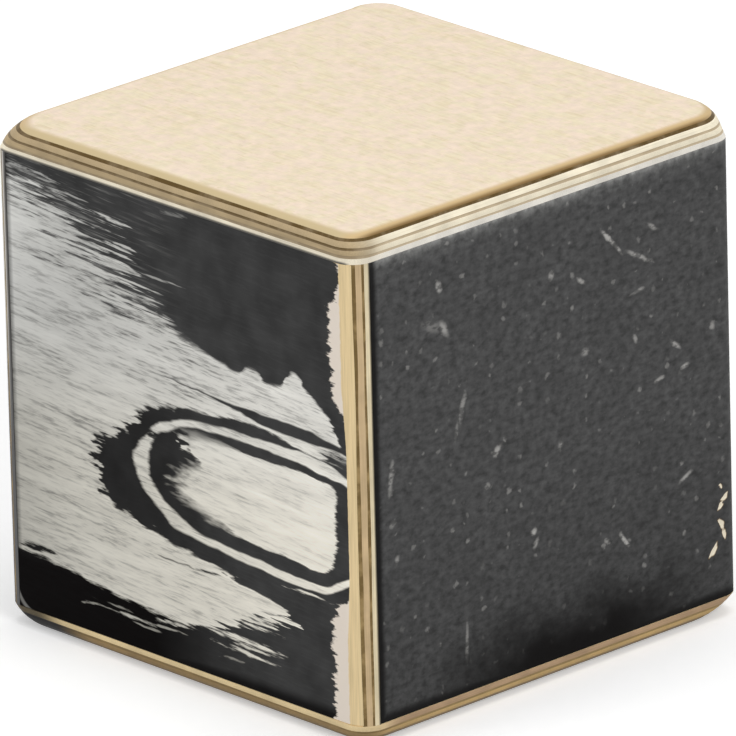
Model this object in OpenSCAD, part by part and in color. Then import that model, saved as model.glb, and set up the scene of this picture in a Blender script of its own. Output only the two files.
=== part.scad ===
// Cube-shaped hand shaker: a sealed box of birch plywood with loose steel shot inside.
// Millimetres, +Z up, origin at the middle of the underside. The front panel faces -Y.
// Each side panel laps the end of the next one, going round the box anticlockwise from above,
// and the top and bottom plates cover the ends of all four.

/* [Box] */
// Outside width of the box, from left to right
box_w = 65; // [50:1:90]
// Outside depth of the box, from front to back
box_d = 65; // [50:1:90]
// Height of the side panels, between the bottom and top plates
panel_h = 59.8; // [40:0.1:90]
// Radius of the four upright corners
corner_r = 3; // [3:0.1:6]
// Rounding along the rim of the top plate
top_rim_r = 2.4; // [0.5:0.1:2.9]
// Rounding along the rim of the bottom plate
bottom_rim_r = 2.6; // [0.5:0.1:2.9]

/* [Plywood] */
// Thickness of each of the three plies of a side panel
side_ply_t = 0.8; // [0.6:0.05:1.4]
// Thickness of the top plate's face veneer
top_face_t = 0.65; // [0.4:0.05:1.2]
// Thickness of each of the other plies of the two plates
plate_ply_t = 0.8; // [0.6:0.05:1.4]
// Thickness of one glue line between two plies
glue_t = 0.15; // [0.05:0.01:0.3]

/* [Shot] */
// Diameter of one ball
ball_d = 4; // [3:0.1:5]
// Clear space between neighbouring balls
ball_gap = 0.6; // [0.3:0.1:1]
// Rows of balls, from front to back
shot_rows = 8; // [4:1:8]
// Balls in each row, every other one of which hops
row_balls = 7; // [4:1:8]
// How far the rows lie scattered from side to side, as a share of their free travel
row_scatter = 0.6; // [0:0.05:0.9]
// Clear space between the resting shot and the floor of the chamber
floor_gap = 0.2; // [0.1:0.05:0.5]
// Clear space between the shot and a wall at the end of its travel
wall_gap = 0.3; // [0.1:0.05:0.5]

/* [Hidden] */
$fn = 64;

side_t = 3 * side_ply_t + 2 * glue_t;
top_t = top_face_t + 3 * (plate_ply_t + glue_t);
bottom_t = 3 * plate_ply_t + 2 * glue_t;
box_h = bottom_t + panel_h + top_t;

// Least radius left inside a rounded rim where it turns a corner
rim_core = 0.1;

// The side panels in order, going round the box anticlockwise from above
SIDES = ["front", "right", "back", "left"];

ball_pitch = ball_d + ball_gap;
row_len = (row_balls - 1) * ball_pitch + ball_d;
row_reach = (box_w - 2 * side_t - row_len) / 2 - wall_gap;
// Angle by which the sideways scatter steps on from row to row
scatter_step = 137.5;

birch = "#EBDDBB";
birch_edge = "#D9C194";
pale_ply = "#E8E2D8";
glue = "#775C3C";
black_coat = "#454545";
figured_coat = "#A9A69C";
steel = "#B9BDC4";

// Depth at which a ply of a plate starts, from the plate's outer face; ply 0 is the face veneer
function plate_ply_from(face_t, ply) =
    ply == 0 ? 0 : face_t + glue_t + (ply - 1) * (plate_ply_t + glue_t);

// Depth at which a ply of a plate ends
function plate_ply_to(face_t, ply) =
    plate_ply_from(face_t, ply) + (ply == 0 ? face_t : plate_ply_t);

// Depth at which a ply of a side panel starts, from the panel's outer face
function side_ply_from(ply) = ply * (side_ply_t + glue_t);

// Quarter turns that take the front panel to a side of the box
function quarter_turns(side) = search([side], SIDES)[0];

// Sideways place of a row's middle ball
function row_shift(row) = row_scatter * row_reach * sin(row * scatter_step);

// Rounding that a plate's rim has room for, within its corner and its thickness
function rim_round(rim_r, plate_t) = min(rim_r, corner_r - rim_core, plate_t);

// Rim of a plate in section, from a corner's centre line outwards, with the outer face at 0
module rim_section(round_r, from, to) {
    if (from >= round_r) {
        translate([0, from]) square([corner_r, to - from]);
    } else {
        intersection() {
            translate([0, from]) square([corner_r, to - from]);
            union() {
                square([corner_r - round_r, to]);
                translate([corner_r - round_r, round_r]) circle(round_r);
                translate([corner_r - round_r, round_r]) square([round_r, to]);
            }
        }
    }
}

// One layer of a plate, with the plate's outer face at z = 0 and its rim rounded there
module plate_layer(round_r, from, to) {
    translate([corner_r - box_w / 2, corner_r - box_d / 2, from])
        cube([box_w - 2 * corner_r, box_d - 2 * corner_r, to - from]);
    for (turn = [0:3]) {
        across = turn % 2 == 0 ? box_w : box_d;
        along = turn % 2 == 0 ? box_d : box_w;
        rotate([0, 0, 90 * turn]) translate([across / 2 - corner_r, along / 2 - corner_r, 0]) {
            rotate([90, 0, 0]) linear_extrude(along - 2 * corner_r) rim_section(round_r, from, to);
            rotate_extrude(angle = 90) rim_section(round_r, from, to);
        }
    }
}

module top_layer(from, to) {
    translate([0, 0, box_h]) mirror([0, 0, 1])
        plate_layer(rim_round(top_rim_r, top_t), from, to);
}

module bottom_layer(from, to) {
    plate_layer(rim_round(bottom_rim_r, bottom_t), from, to);
}

module top_ply(ply) {
    top_layer(plate_ply_from(top_face_t, ply), plate_ply_to(top_face_t, ply));
}

module bottom_ply(ply) {
    bottom_layer(plate_ply_from(plate_ply_t, ply), plate_ply_to(plate_ply_t, ply));
}

// The box's outline in plan, with its four rounded corners
module box_outline(w, d) {
    square([w - 2 * corner_r, d], center = true);
    square([w, d - 2 * corner_r], center = true);
    for (x = [-1, 1], y = [-1, 1])
        translate([x * (w / 2 - corner_r), y * (d / 2 - corner_r)]) circle(corner_r);
}

// One upright layer of a side panel, between two depths from its outer face
module side_layer(side, from, to) {
    turns = quarter_turns(side);
    length = turns % 2 == 0 ? box_w : box_d;
    across = turns % 2 == 0 ? box_d : box_w;
    rotate([0, 0, 90 * turns]) translate([0, 0, bottom_t]) linear_extrude(panel_h) intersection() {
        translate([side_t - length / 2, from - across / 2]) square([length - side_t, to - from]);
        box_outline(length, across);
    }
}

module side_ply(side, ply) {
    side_layer(side, side_ply_from(ply), side_ply_from(ply) + side_ply_t);
}

module side_glue(side) {
    for (line = [1:2]) side_layer(side, side_ply_from(line) - glue_t, side_ply_from(line));
}

// Every other ball of a row, from the first one named
module shot_balls(row, first) {
    for (ball = [first:2:row_balls - 1])
        translate([
            row_shift(row) + (ball - (row_balls - 1) / 2) * ball_pitch,
            (row - (shot_rows + 1) / 2) * ball_pitch,
            bottom_t + floor_gap + ball_d / 2
        ]) sphere(d = ball_d);
}

module top_face_veneer() { color(birch) top_ply(0); }
module top_crossband() { color(birch_edge) top_ply(1); }
module top_core_ply() { color(birch) top_ply(2); }
module top_backing_ply() { color(pale_ply) top_ply(3); }
module top_glue_lines() {
    color(glue) for (ply = [1:3])
        top_layer(plate_ply_from(top_face_t, ply) - glue_t, plate_ply_from(top_face_t, ply));
}

module bottom_face_veneer() { color(birch) bottom_ply(0); }
module bottom_core_ply() { color(birch_edge) bottom_ply(1); }
module bottom_inner_veneer() { color(birch) bottom_ply(2); }
module bottom_glue_lines() {
    color(glue) for (ply = [1:2])
        bottom_layer(plate_ply_from(plate_ply_t, ply) - glue_t, plate_ply_from(plate_ply_t, ply));
}

module front_face_veneer() { color(figured_coat) side_ply("front", 0); }
module front_core_ply() { color(birch_edge) side_ply("front", 1); }
module front_inner_veneer() { color(birch) side_ply("front", 2); }
module front_glue_lines() { color(glue) side_glue("front"); }

module right_face_veneer() { color(black_coat) side_ply("right", 0); }
module right_core_ply() { color(birch_edge) side_ply("right", 1); }
module right_inner_veneer() { color(birch) side_ply("right", 2); }
module right_glue_lines() { color(glue) side_glue("right"); }

module back_face_veneer() { color(figured_coat) side_ply("back", 0); }
module back_core_ply() { color(birch_edge) side_ply("back", 1); }
module back_inner_veneer() { color(birch) side_ply("back", 2); }
module back_glue_lines() { color(glue) side_glue("back"); }

module left_face_veneer() { color(black_coat) side_ply("left", 0); }
module left_core_ply() { color(birch_edge) side_ply("left", 1); }
module left_inner_veneer() { color(birch) side_ply("left", 2); }
module left_glue_lines() { color(glue) side_glue("left"); }

module shot_row(row) { color(steel) shot_balls(row, 0); }
module shot_hop(row) { color(steel) shot_balls(row, 1); }

top_face_veneer();
top_crossband();
top_core_ply();
top_backing_ply();
top_glue_lines();
bottom_face_veneer();
bottom_core_ply();
bottom_inner_veneer();
bottom_glue_lines();
front_face_veneer();
front_core_ply();
front_inner_veneer();
front_glue_lines();
right_face_veneer();
right_core_ply();
right_inner_veneer();
right_glue_lines();
back_face_veneer();
back_core_ply();
back_inner_veneer();
back_glue_lines();
left_face_veneer();
left_core_ply();
left_inner_veneer();
left_glue_lines();
for (row = [1:shot_rows]) {
    shot_row(row);
    shot_hop(row);
}
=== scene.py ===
"""Cube hand shaker: a sealed birch-ply box with coated side panels and loose steel shot.

Metres, +Z up, origin at the middle of the underside, the front panel faces -Y.
Every piece of the box stands where its node of the frame stands.
"""
import math
import random
from collections import namedtuple
from functools import partial

import bmesh
import bpy
from mathutils import Matrix, Vector


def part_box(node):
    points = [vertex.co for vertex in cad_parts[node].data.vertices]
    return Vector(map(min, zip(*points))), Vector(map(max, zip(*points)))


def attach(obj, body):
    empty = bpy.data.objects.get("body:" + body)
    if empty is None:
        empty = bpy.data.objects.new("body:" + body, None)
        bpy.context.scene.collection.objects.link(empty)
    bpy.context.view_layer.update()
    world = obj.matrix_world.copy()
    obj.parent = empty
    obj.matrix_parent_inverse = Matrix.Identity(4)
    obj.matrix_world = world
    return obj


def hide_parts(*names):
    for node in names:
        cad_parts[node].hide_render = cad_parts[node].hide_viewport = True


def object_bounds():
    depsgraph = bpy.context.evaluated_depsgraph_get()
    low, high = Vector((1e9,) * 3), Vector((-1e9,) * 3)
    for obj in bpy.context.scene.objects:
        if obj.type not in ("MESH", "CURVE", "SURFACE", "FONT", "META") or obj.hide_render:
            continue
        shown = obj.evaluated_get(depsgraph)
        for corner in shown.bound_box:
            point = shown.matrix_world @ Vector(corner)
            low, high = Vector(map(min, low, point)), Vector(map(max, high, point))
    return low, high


bl_info = {
    "name": "Birch cube shaker",
    "version": (1, 0, 0),
    "blender": (4, 5, 0),
    "location": "View3D > Sidebar > Shaker",
    "description": "Plywood box, sanded coats and loose shot of a cube hand shaker",
    "category": "Add Mesh",
}

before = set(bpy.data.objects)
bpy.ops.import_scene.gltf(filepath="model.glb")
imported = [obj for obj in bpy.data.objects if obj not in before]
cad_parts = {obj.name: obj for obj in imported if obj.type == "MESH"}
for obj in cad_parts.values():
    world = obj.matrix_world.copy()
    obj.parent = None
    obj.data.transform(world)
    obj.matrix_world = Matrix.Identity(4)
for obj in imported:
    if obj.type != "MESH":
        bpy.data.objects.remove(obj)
CAD_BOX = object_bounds()

MM = 0.001
BODY = "case"
THREE_PLIES = ("face_veneer", "core_ply", "inner_veneer")
FOUR_PLIES = ("face_veneer", "crossband", "core_ply", "backing_ply")
PLATE_PLIES = {"top": FOUR_PLIES, "bottom": THREE_PLIES}
# Each side is a quarter turn on from the one before it, anticlockwise from above
SIDES = ("front", "right", "back", "left")
# Seeds of the waver in the ply edges of each plate and panel
SEEDS = {"top": 11, "bottom": 31, "front": 51, "back": 61, "right": 71, "left": 81}

# Sizes that the frame gives
BOX_LOW, BOX_HIGH = CAD_BOX
BOX_W = BOX_HIGH.x - BOX_LOW.x
BOX_D = BOX_HIGH.y - BOX_LOW.y
PANEL_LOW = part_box("front_face_veneer")[0].z
PANEL_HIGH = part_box("front_face_veneer")[1].z
PANEL_H = PANEL_HIGH - PANEL_LOW
SIDE_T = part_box("front_inner_veneer")[1].y - BOX_LOW.y

# How finely the wood is cut into faces
CORNER_STEPS = 12
EDGE_STEPS = 44
ARC_STEPS = 8
PLY_STEPS = 4
GLUE_STEPS = 2
FACE_STEPS = 10
FACE_GRID = 1.0 * MM
CHIP_GRID = 0.22 * MM
PLY_LEVELS = 48
# Edges that turn by more than this stay sharp, in degrees
SHARP_TURN = 35
# Where a plate's flat middle starts, in from the sides, and the radius of the outline it is set in from,
# which leaves its own corners just rounded
WEB_INSET = 8.0 * MM
WEB_RADIUS = WEB_INSET + 0.05 * MM


def linear(code):
    """Turns an sRGB hex colour into linear red, green, blue and alpha."""
    shares = [int(code[i:i + 2], 16) / 255 for i in (0, 2, 4)]
    lit = [c / 12.92 if c <= 0.04045 else ((c + 0.055) / 1.055) ** 2.4 for c in shares]
    return (*lit, 1.0)


def length_prop(name, description, value):
    """A size in metres that a user can change."""
    return bpy.props.FloatProperty(
        name=name, description=description, default=value, min=0.0, precision=5, unit="LENGTH")


def colour_prop(name, description, code):
    """A colour that a user can change."""
    return bpy.props.FloatVectorProperty(
        name=name, description=description, default=linear(code), size=4, subtype="COLOR", min=0.0, max=1.0)


class ShakerSizes(bpy.types.PropertyGroup):
    """Sizes of the box's edges, glue lines and wood figure."""
    corner_radius: length_prop("Corner radius", "Radius of the four upright corners", 3.0 * MM)
    top_rim: length_prop("Top rim", "Rounding along the rim of the top plate", 2.4 * MM)
    bottom_rim: length_prop("Bottom rim", "Rounding along the rim of the bottom plate", 2.6 * MM)
    edge_break: length_prop("Edge break", "Sanded bevel along the edges of a coated panel", 0.12 * MM)
    line_wander: length_prop("Line wander", "How far a glue line wanders from straight", 0.05 * MM)
    line_swell: length_prop("Line swell", "How much a glue line's thickness changes", 0.10 * MM)
    line_bleed: length_prop("Line bleed", "How far the glue soaks into the ply on each side", 0.08 * MM)
    line_groove: length_prop("Line groove", "How far a glue line lies below the sanded wood", 0.03 * MM)
    coat_depth: length_prop("Coat depth", "Thickness of the coat on a side panel", 0.04 * MM)
    grain_length: length_prop("Grain length", "Length of a streak of the birch grain", 8.0 * MM)
    grain_width: length_prop("Grain width", "Width of a streak of the birch grain", 0.45 * MM)
    streak_length: length_prop("Streak length", "Length of a streak at the sanded coat's edge", 10.0 * MM)
    streak_width: length_prop("Streak width", "Width of a streak at the sanded coat's edge", 0.5 * MM)


class ShakerColours(bpy.types.PropertyGroup):
    """Colours of the woods, glue, coats, shot and floor."""
    birch: colour_prop("Birch", "Sanded face veneer", "F0E2C3")
    birch_grain: colour_prop("Birch grain", "Darker streaks of the face veneer", "DDC79F")
    birch_blush: colour_prop("Birch blush", "Rosy clouds of the face veneer", "F4E0CB")
    birch_pore: colour_prop("Birch pores", "Fine short pores of the face veneer", "CBB083")
    end_grain: colour_prop("End grain", "Face veneer where a rim cuts deep across its grain", "7A5C2C")
    side_grain: colour_prop("Side grain", "Face veneer where a rim or corner cuts along its grain", "CDB98F")
    gold_grain: colour_prop("Gold grain", "Face veneer where a rim starts to cut across its grain", "D2B584")
    # Painted light: the top plate's plies take a lit colour on the right side, where the key light falls, and
    # a shaded one on the other sides. Cream cut, the backing ply's colour on the other sides, also colours
    # the chips.
    pale_cut_lit: colour_prop("Pale cut", "Inner plies of the top plate on the right side", "FFF4DA")
    tan_cut_shaded: colour_prop("Tan cut", "Inner plies of the top plate on the other sides", "BBA580")
    cool_cut_lit: colour_prop("Cool cut", "Top plate's backing ply on the right side", "FAF5EA")
    cream_cut: colour_prop("Cream cut", "Top plate's backing ply on the other sides, and chips", "FFF4DC")
    golden_cut: colour_prop("Golden cut", "Core ply of a lapped corner", "D8BC92")
    honey_cut: colour_prop("Honey cut", "Inner ply of a lapped corner", "F3E3BE")
    # Painted light: the bottom plate's plies take one tone on the right side and another on the other sides,
    # for how the light falls on each side; the core ply is lit on the right and shaded on the others.
    amber_cut_lit: colour_prop("Amber cut", "Core ply of the bottom plate on the right side", "E2C084")
    umber_cut_shaded: colour_prop("Umber cut", "Core ply of the bottom plate on the other sides", "A88C60")
    rosy_cut: colour_prop("Rosy cut", "Inner veneer of the bottom plate on the right side", "C4A482")
    straw_cut: colour_prop("Straw cut", "Inner veneer of the bottom plate on the other sides", "F7DEAC")
    # Painted shade: rim brown darkens the bottom plate's face where its rim rounds down toward the floor
    rim_brown: colour_prop("Worn rim", "Rim of the bottom plate's face, and edges of chips", "705630")
    ash_cut: colour_prop("Ash cut", "Plies of a corner that is smeared with coat", "F0ECE4")
    bare_birch: colour_prop("Bare birch", "Veneer of a corner that is sanded bare", "F8DEAD")
    glue: colour_prop("Glue", "Glue line between plies", "5C4720")
    glue_faint: colour_prop("Faint glue", "Starved glue in the top plate", "D2BFA0")
    glue_amber: colour_prop("Amber glue", "Starved glue in the sides and the bottom plate", "CDB07C")
    white_coat: colour_prop("White coat", "White coat on the figured panels, where it is full", "FDFBF4")
    # Partly painted shade: grey coat is also the white coat's colour at the left, where its light falls off
    grey_coat_and_shade: colour_prop("Grey coat", "White coat where it is thin, and ground under the black", "D6D6D2")
    worn_coat: colour_prop("Worn coat", "Dashes worn into the white coat, and a worn corner band", "7E7D7A")
    wood_tint: colour_prop("Wood tint", "Tint of the wood in the white coat low down", "FFFCF5")
    blush_coat: colour_prop("Blush coat", "White ground beside a sanded corner", "F8ECDE")
    black_coat: colour_prop("Black coat", "Black coat on the figured panels", "393939")
    # Painted shade: shade black stands in for shade low on the figured panels, along the foot of the black
    # panels, in the joints and under the front left corner
    shade_black: colour_prop("Soot", "Black coat where it is thickest", "090707")
    matt_black: colour_prop("Matt black", "Black coat on the scuffed panels", "3D3D3D")
    charcoal: colour_prop("Charcoal", "Black coat where it is rubbed", "5E5E5E")
    scuff: colour_prop("Scuff", "Scuffs in the black coat", "BDBBB7")
    steel: colour_prop("Steel", "Shot", "B9BDC4")
    floor: colour_prop("Floor", "Floor where it is seen", "F4F4F4")
    floor_bounce: colour_prop("Floor bounce", "Floor for the light that it throws back", "BCBCBC")


def waver(seed, span, reach):
    """A gentle wave that repeats over a span and stays within a reach, as a function of place."""
    draw = random.Random(seed)
    waves = [(turns, draw.uniform(0, 2 * math.pi), draw.uniform(0.4, 1.0) / math.sqrt(turns))
             for turns in (2, 3, 5, 8, 13)]
    share = reach / sum(height for _, _, height in waves)
    return lambda place: share * sum(
        height * math.sin(2 * math.pi * turns * place / span + phase) for turns, phase, height in waves)


def line_edge(depth, drift, swell, side):
    """One edge of a glue line, as its depth by place, which its swell moves outwards (-1) or inwards (1)."""
    return lambda place: depth + drift(place) + side * swell(place)


def layers(depths, seed, span, sizes):
    """Where each ply, and each glue line between two plies, starts and ends in depth.

    Both come as pairs of functions of the place along the edge, from the outer face inwards.
    """
    glue = []
    for line, (outer, inner) in enumerate(zip(depths, depths[1:])):
        drift = waver(seed + 2 * line, span, sizes.line_wander)
        swell = waver(seed + 2 * line + 1, span, sizes.line_swell / 2)
        start = line_edge(outer[1] - sizes.line_bleed, drift, swell, -1)
        end = line_edge(inner[0] + sizes.line_bleed, drift, swell, 1)
        glue.append((start, end))
    starts = [lambda place: depths[0][0]] + [end for _, end in glue]
    ends = [start for start, _ in glue] + [lambda place: depths[-1][1]]
    return list(zip(starts, ends)), glue


def skin(mesh, rings):
    """Joins closed rings of points with faces, one ring to the next, and caps both ends."""
    rows = [[mesh.verts.new(point) for point in ring] for ring in rings]
    for row, following in zip(rows, rows[1:]):
        for i, j in zip(range(len(row)), [*range(1, len(row)), 0]):
            mesh.faces.new((row[i], row[j], following[j], following[i]))
    mesh.faces.new(rows[0][::-1])
    mesh.faces.new(rows[-1])


def dress(node, solids, material, turn=0.0):
    """Makes the piece that stands for a node of the frame from one or more stacks of rings."""
    mesh = bmesh.new()
    for rings in solids:
        skin(mesh, rings)
    bmesh.ops.recalc_face_normals(mesh, faces=mesh.faces)
    data = bpy.data.meshes.new(f"{node}_wood")
    mesh.to_mesh(data)
    mesh.free()
    data.shade_smooth()
    data.set_sharp_from_angle(angle=math.radians(SHARP_TURN))
    data.materials.append(material)
    piece = bpy.data.objects.new(f"dressed_{node}", data)
    bpy.context.scene.collection.objects.link(piece)
    piece.rotation_euler.z = turn
    shading = piece.modifiers.new("even_shading", "WEIGHTED_NORMAL")
    shading.keep_sharp = True
    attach(piece, BODY)
    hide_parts(node)


def rim_length(depth, radius):
    """Length along a rounded rim, from the edge of the flat face down to a depth."""
    if depth < radius:
        return radius * math.acos(1 - depth / radius)
    return radius * math.pi / 2 + depth - radius


def rim_place(length, radius):
    """How far in from the side, and how deep below the flat face, a rim lies at a length along it."""
    angle = min(length / radius, math.pi / 2)
    straight = max(length - radius * math.pi / 2, 0)
    return radius * (1 - math.sin(angle)), radius * (1 - math.cos(angle)) + straight


# How far each corner of a plate is sanded back at its outer face, in millimetres,
# from the corner between the front and right panels, anticlockwise from above
CORNER_SANDING = {"top": (0.5, 1.4, 0.8, 1.9), "bottom": (0.5, 2.2, 0.8, 1.3)}
# Share of the rim's rounding on each edge of a plate, from the right edge, anticlockwise from above
RIM_SHARES = {"top": (1.0, 0.5, 1.25, 1.0), "bottom": (1.0, 1.0, 1.0, 1.0)}
# Which way each corner lies from the middle of the box, in the same order
CORNER_SIGNS = ((1, -1), (1, 1), (-1, 1), (-1, -1))

# A station on the rim: a corner, a share of its bend, a share of the edge after it, the place along the rim
Station = namedtuple("Station", "quarter bend along place")


def rim_stations(corner):
    """Stations round the box in plan, and the whole way round."""
    stations = []
    place = 0.0
    for quarter in range(4):
        edge = (BOX_D if quarter % 2 == 0 else BOX_W) - 2 * corner
        for step in range(CORNER_STEPS):
            stations.append(Station(quarter, step / CORNER_STEPS, 0.0, place))
            place += corner * math.pi / 2 / CORNER_STEPS
        for step in range(EDGE_STEPS):
            stations.append(Station(quarter, 1.0, step / EDGE_STEPS, place))
            place += edge / EDGE_STEPS
    return stations, place


def rim_point(station, radii, inset):
    """A station's point in plan, on an outline with a radius for each corner, set in from the sides."""
    angle = math.pi / 2 * (station.quarter - 1 + station.bend)
    direction = Vector((math.cos(angle), math.sin(angle)))
    ends = []
    for corner in (station.quarter, (station.quarter + 1) % 4):
        x, y = CORNER_SIGNS[corner]
        pivot = Vector((x * (BOX_W / 2 - radii[corner]), y * (BOX_D / 2 - radii[corner])))
        ends.append(pivot + direction * (radii[corner] - inset))
    return ends[0].lerp(ends[1], station.along)


def rim_share(plate, station):
    """Share of the rim's rounding at a station, which changes from edge to edge round each corner."""
    before, after = RIM_SHARES[plate][station.quarter - 1], RIM_SHARES[plate][station.quarter]
    return before + (after - before) * station.bend


def plate_depths(plate):
    """Depth at which each ply of a plate starts and ends, from the plate's outer face inwards."""
    boxes = [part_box(f"{plate}_{ply}") for ply in PLATE_PLIES[plate]]
    if plate == "top":
        return [(BOX_HIGH.z - high.z, BOX_HIGH.z - low.z) for low, high in boxes]
    return [(low.z - BOX_LOW.z, high.z - BOX_LOW.z) for low, high in boxes]


def add_plate(plate, rim, woods, glue_material, sizes):
    """Builds a plate from its plies and glue lines, whose edges wander a little round the rim."""
    corner = sizes.corner_radius
    stations, way_round = rim_stations(corner)
    depths = plate_depths(plate)
    thickness = depths[-1][1]
    plies, glue = layers(depths, SEEDS[plate], way_round, sizes)
    outer_z = BOX_HIGH.z if plate == "top" else BOX_LOW.z
    inward = -1 if plate == "top" else 1
    # A larger radius takes this share of its growth off the corner's diagonal
    diagonal = math.sqrt(2) - 1

    def radii_at(depth):
        """Radius of each corner at a depth below the outer face."""
        share = (1 - depth / thickness) / diagonal
        return [corner + sanding * MM * share for sanding in CORNER_SANDING[plate]]

    def ring(start, end, share, dip):
        """Points round the rim at a share of the way across a layer, dipped into it."""
        points = []
        for station in stations:
            radius = rim * rim_share(plate, station)
            first, last = (rim_length(edge(station.place), radius) for edge in (start, end))
            inset, depth = rim_place(first + share * (last - first), radius)
            plan = rim_point(station, radii_at(depth), inset + dip)
            points.append((plan.x, plan.y, outer_z + inward * depth))
        return points

    def web_ring(depth):
        """Points round the plate's flat middle at a depth."""
        plans = [rim_point(station, [WEB_RADIUS] * 4, WEB_INSET) for station in stations]
        return [(plan.x, plan.y, outer_z + inward * depth) for plan in plans]

    def solid(start, end, depth, steps, groove):
        """Rings that make up a layer, from its outer side round its rim to its inner side."""
        rings = [ring(start, end, step / steps, groove * math.sin(math.pi * step / steps))
                 for step in range(steps + 1)]
        return [web_ring(depth[0]), *rings, web_ring(depth[1])]

    for ply, (start, end), depth in zip(PLATE_PLIES[plate], plies, depths):
        steps = FACE_STEPS if ply == "face_veneer" else PLY_STEPS
        dress(f"{plate}_{ply}", [solid(start, end, depth, steps, 0.0)], woods[ply])
    gaps = [(outer[1], inner[0]) for outer, inner in zip(depths, depths[1:])]
    lines = []
    for (start, end), depth in zip(glue, gaps):
        lines.append(solid(start, end, depth, GLUE_STEPS, sizes.line_groove))
    dress(f"{plate}_glue_lines", lines, glue_material)


# Chips knocked out of the coat near the far end of the right panel:
# place along the panel, height, length, width, lean in degrees, all sizes in millimetres
CHIPS = (
    (29.6, 15.9, 1.9, 1.00, 35),
    (28.8, 14.9, 1.6, 0.95, 55),
    (28.9, 12.5, 2.4, 1.00, -62),
    (29.4, 11.0, 1.9, 0.90, -75),
    (27.5, 9.3, 2.7, 1.10, 48),
    (28.9, 17.5, 1.2, 0.55, -60),
)
CHIP_DEPTH = 0.16 * MM
# Heights between which the chips lie, and the place along the panel past which they do
CHIP_ZONE = (8.0 * MM, 19.2 * MM)
CHIP_NEAR = 25.4 * MM


def chip_sink(place, height):
    """How deep the chips go below the coat at a place along the panel and a height."""
    deepest = 0.0
    for along, up, long, wide, lean in CHIPS:
        across, rise = place / MM - along, height / MM - up
        turn = math.radians(lean)
        x = (across * math.cos(turn) + rise * math.sin(turn)) / (long / 2)
        y = (rise * math.cos(turn) - across * math.sin(turn)) / (wide / 2)
        round_it = math.atan2(y, x)
        ragged = 1 + 0.3 * math.sin(3 * round_it + up) + 0.2 * math.sin(5 * round_it + along)
        deepest = max(deepest, CHIP_DEPTH * (1 - ragged * (x * x + y * y)))
    return deepest


def spaced(ends, gaps):
    """Places from the first end up to, but not including, the last, about a gap apart in each stretch."""
    places = []
    for low, high, gap in zip(ends, ends[1:], gaps):
        count = max(1, round((high - low) / gap))
        places += [low + (high - low) * i / count for i in range(count)]
    return places


def side_depths():
    """Depth at which each ply of a side panel starts and ends, from its outer face inwards."""
    boxes = [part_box(f"front_{ply}") for ply in THREE_PLIES]
    return [(low.y - BOX_LOW.y, high.y - BOX_LOW.y) for low, high in boxes]


def face_grid(butt, bend, bevel, chipped):
    """Places along a coated face, and heights up it, that part its mesh, close together at its chips."""
    ends, gaps = [butt + bevel, bend], [FACE_GRID]
    level_ends, level_gaps = [PANEL_LOW + bevel, PANEL_HIGH - bevel], [FACE_GRID]
    if chipped:
        ends.insert(1, CHIP_NEAR)
        gaps.append(CHIP_GRID)
        level_ends[1:1] = CHIP_ZONE
        level_gaps += [CHIP_GRID, FACE_GRID]
    columns = [butt, *spaced(ends, gaps)]
    levels = [PANEL_LOW, *spaced(level_ends, level_gaps), PANEL_HIGH - bevel, PANEL_HIGH]
    return columns, levels


def add_side(side, chipped, woods, glue_material, sizes):
    """Builds a side panel in the front panel's place and turns it to its own side of the box."""
    quarter = SIDES.index(side)
    length, across = (BOX_W, BOX_D) if quarter % 2 == 0 else (BOX_D, BOX_W)
    turn = quarter * math.pi / 2
    corner = sizes.corner_radius
    bevel = sizes.edge_break
    butt = SIDE_T - length / 2
    bend = Vector((length / 2 - corner, corner - across / 2))
    plies, glue = layers(side_depths(), SEEDS[side], 2 * PANEL_H, sizes)

    def flat(place, height):
        """An inner layer isn't sunk anywhere."""
        return 0.0

    def sink(place, height):
        """How far the coated face is sunk at its broken edges and its chips."""
        edge = min(place - butt, height - PANEL_LOW, PANEL_HIGH - height)
        chips = chip_sink(place, height) if chipped else 0.0
        return max(bevel - edge, 0.0) + chips

    def ring(start, end, height, columns, steps, sunk, groove):
        """Points round a layer at a height: along its outer side, round the corner and back to the butt."""
        low, high = start(height), end(height)
        points = [(x, low - across / 2 + sunk(x, height), height) for x in columns]
        first, last = (math.acos(max(1 - depth / corner, 0.0)) for depth in (low, high))
        for step in range(steps + 1):
            angle = first + (last - first) * step / steps
            reach = corner - sunk(bend.x + corner * angle, height)
            reach -= groove * math.sin(math.pi * step / steps)
            points.append((bend.x + reach * math.sin(angle), bend.y - reach * math.cos(angle), height))
        points.append((butt, high - across / 2, height))
        return points

    columns, face_levels = face_grid(butt, bend.x, bevel, chipped)
    levels = [*spaced((PANEL_LOW, PANEL_HIGH), (PANEL_H / PLY_LEVELS,)), PANEL_HIGH]
    for ply, (start, end) in zip(THREE_PLIES, plies):
        if ply == "face_veneer":
            rings = [ring(start, end, z, columns, ARC_STEPS, sink, 0.0) for z in face_levels]
        else:
            rings = [ring(start, end, z, [butt], PLY_STEPS, flat, 0.0) for z in levels]
        dress(f"{side}_{ply}", [rings], woods[ply], turn)
    lines = []
    for start, end in glue:
        lines.append([ring(start, end, z, [butt], GLUE_STEPS, flat, sizes.line_groove) for z in levels])
    dress(f"{side}_glue_lines", lines, glue_material, turn)


# Settings that many nodes share
SMOOTH = {"interpolation_type": "SMOOTHSTEP"}
COLOUR = {"data_type": "RGBA"}
PLUS = {"operation": "ADD"}
MINUS = {"operation": "SUBTRACT"}
TIMES = {"operation": "MULTIPLY"}
TIMES_PLUS = {"operation": "MULTIPLY_ADD"}
OVER = {"operation": "DIVIDE"}
POWER = {"operation": "POWER"}
LARGER = {"operation": "MAXIMUM"}
SMALLER = {"operation": "MINIMUM"}
LENGTH = {"operation": "LENGTH"}
SCALE = {"operation": "SCALE"}

# Places that the materials measure from, in millimetres: the outer face of the front panel,
# the lower and upper edges of the panels, and the end at which a panel butts against its neighbour
FRONT = BOX_LOW.y / MM
FOOT = PANEL_LOW / MM
HEAD = PANEL_HIGH / MM
BUTT = (SIDE_T - BOX_W / 2) / MM


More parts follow.
